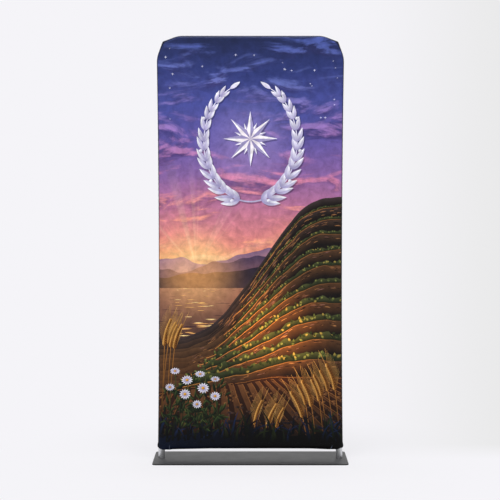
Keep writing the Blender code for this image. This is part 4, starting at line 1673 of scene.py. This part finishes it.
def add_floor(stage):
    """A wide floor that fades into the background's colour away from the banner."""
    bpy.ops.mesh.primitive_circle_add(vertices=96, radius=FLOOR_RADIUS, fill_type="NGON", location=(0, 0, 0))
    floor = bpy.context.object
    floor.name = "studio_floor"
    made, tree, shader = new_material("Matt studio floor")
    place = add(tree, "ShaderNodeTexCoord").outputs["Object"]
    parts = add(tree, "ShaderNodeSeparateXYZ", {"Vector": place}).outputs
    reach = add(tree, "ShaderNodeVectorMath", {0: place}, operation="LENGTH")
    span = {"From Min": 0.55, "From Max": 1.3, "To Min": 0.76}
    far = add(tree, "ShaderNodeMapRange", {"Value": reach, **span}, **EASED)
    # Painted shade: behind the banner the floor greys to the right, as the background does
    ahead = add(tree, "ShaderNodeMath", {0: parts["Y"], 1: stage.camera_distance}, operation="ADD")
    behind = add(tree, "ShaderNodeMapRange", {"Value": parts["Y"], "From Min": 0.0, "From Max": 0.35})
    colour = background_with_painted_shade(tree, parts["X"], ahead, behind, stage)
    backdrop = add(tree, "ShaderNodeEmission", {"Color": colour, "Strength": 1.0})
    colour = (*stage.floor_colour, 1)
    feed(tree, shader, {"Base Color": colour, "Roughness": 0.95, "Specular IOR Level": 0.1})
    mixed = add(tree, "ShaderNodeMixShader", {0: far, 1: shader, 2: backdrop})
    feed(tree, tree.nodes["Material Output"], {"Surface": mixed})
    floor.data.materials.append(made)
    floor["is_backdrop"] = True


def light_world(stage):
    """Light from all round, weaker from the camera's side. The camera sees the background instead."""
    world = bpy.context.scene.world or bpy.data.worlds.new("Studio")
    bpy.context.scene.world = world
    world.use_nodes = True
    tree = world.node_tree
    tree.nodes.clear()
    way = add(tree, "ShaderNodeTexCoord").outputs["Generated"]
    parts = add(tree, "ShaderNodeSeparateXYZ", {"Vector": way}).outputs
    span = {"From Min": -0.9, "From Max": 0.3, "To Min": 0.5}
    share = add(tree, "ShaderNodeMapRange", {"Value": parts["Y"], **span}, **EASED)
    strength = add(tree, "ShaderNodeMath", {0: share, 1: stage.surround_light}, operation="MULTIPLY")
    surround = add(tree, "ShaderNodeBackground", {"Color": (1, 1, 1, 1), "Strength": strength})
    # Painted shade: the background that the camera sees greys to the right of the banner
    ahead = add(tree, "ShaderNodeMapRange", {"Value": parts["Y"], "From Min": 0.0, "From Max": 0.3})
    colour = background_with_painted_shade(tree, parts["X"], parts["Y"], ahead, stage)
    seen = add(tree, "ShaderNodeBackground", {"Color": colour, "Strength": 1.0})
    to_camera = add(tree, "ShaderNodeLightPath").outputs["Is Camera Ray"]
    mixed = add(tree, "ShaderNodeMixShader", {0: to_camera, 1: surround, 2: seen})
    add(tree, "ShaderNodeOutputWorld", {"Surface": mixed})


def add_lamp(name, place, target, size, power):
    """A large soft lamp that faces a place on the banner."""
    lamp = add_piece(name, bpy.data.lights.new(name, "AREA"))
    lamp.data.size = size
    lamp.data.energy = power
    lamp.location = place
    lamp.rotation_euler = (Vector(target) - lamp.location).to_track_quat("-Z", "Y").to_euler()


def add_camera(stage):
    """A camera in front of the banner, looking a little down at it."""
    camera = add_piece("Camera", bpy.data.cameras.new("Camera"))
    camera.data.lens = stage.lens
    camera.data.shift_x = stage.shift_across
    camera.data.shift_y = stage.shift_up
    camera.location = (0, -stage.camera_distance, stage.camera_height)
    camera.rotation_euler = (math.pi / 2 - stage.tilt, 0, 0)
    bpy.context.scene.camera = camera


class BANNER_PT_sidebar(bpy.types.Panel):
    """Lists the banner's pieces and settings in the 3D view's sidebar"""

    bl_idname = "BANNER_PT_sidebar"
    bl_label = "Church Banner"
    bl_space_type = "VIEW_3D"
    bl_region_type = "UI"
    bl_category = "Banner"

    def draw(self, context):
        for operator in OPERATORS:
            self.layout.operator(operator.bl_idname)
        for name, group in SETTINGS.items():
            box = self.layout.box()
            box.label(text=group.__name__)
            for key in group.__annotations__:
                box.prop(getattr(context.scene, name), key)


SETTINGS = {
    "banner_cloth": BannerCloth,
    "banner_print": BannerPrint,
    "banner_metal": BannerMetal,
    "banner_stage": BannerStage,
}
OPERATORS = (
    BANNER_OT_stitching,
    BANNER_OT_front_cloth,
    BANNER_OT_back_cloth,
    BANNER_OT_uprights,
    BANNER_OT_base_plate,
    BANNER_OT_stage,
)


def register():
    """Adds the settings, the operators and the panel."""
    for made in (*SETTINGS.values(), *OPERATORS, BANNER_PT_sidebar):
        bpy.utils.register_class(made)
    for name, group in SETTINGS.items():
        setattr(bpy.types.Scene, name, bpy.props.PointerProperty(type=group))


def unregister():
    """Takes them away again."""
    for name in SETTINGS:
        delattr(bpy.types.Scene, name)
    for made in (BANNER_PT_sidebar, *reversed(OPERATORS), *reversed(SETTINGS.values())):
        bpy.utils.unregister_class(made)


def main():
    register()
    bpy.ops.banner.stitching()
    bpy.ops.banner.front_cloth()
    bpy.ops.banner.back_cloth()
    bpy.ops.banner.uprights()
    bpy.ops.banner.base_plate()
    bpy.ops.banner.stage()
    boxes = {"cad": CAD_BOX, "visual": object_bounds()}
    {name: [list(corner) for corner in box] for name, box in boxes.items()}


if __name__ == "__main__":
    main()
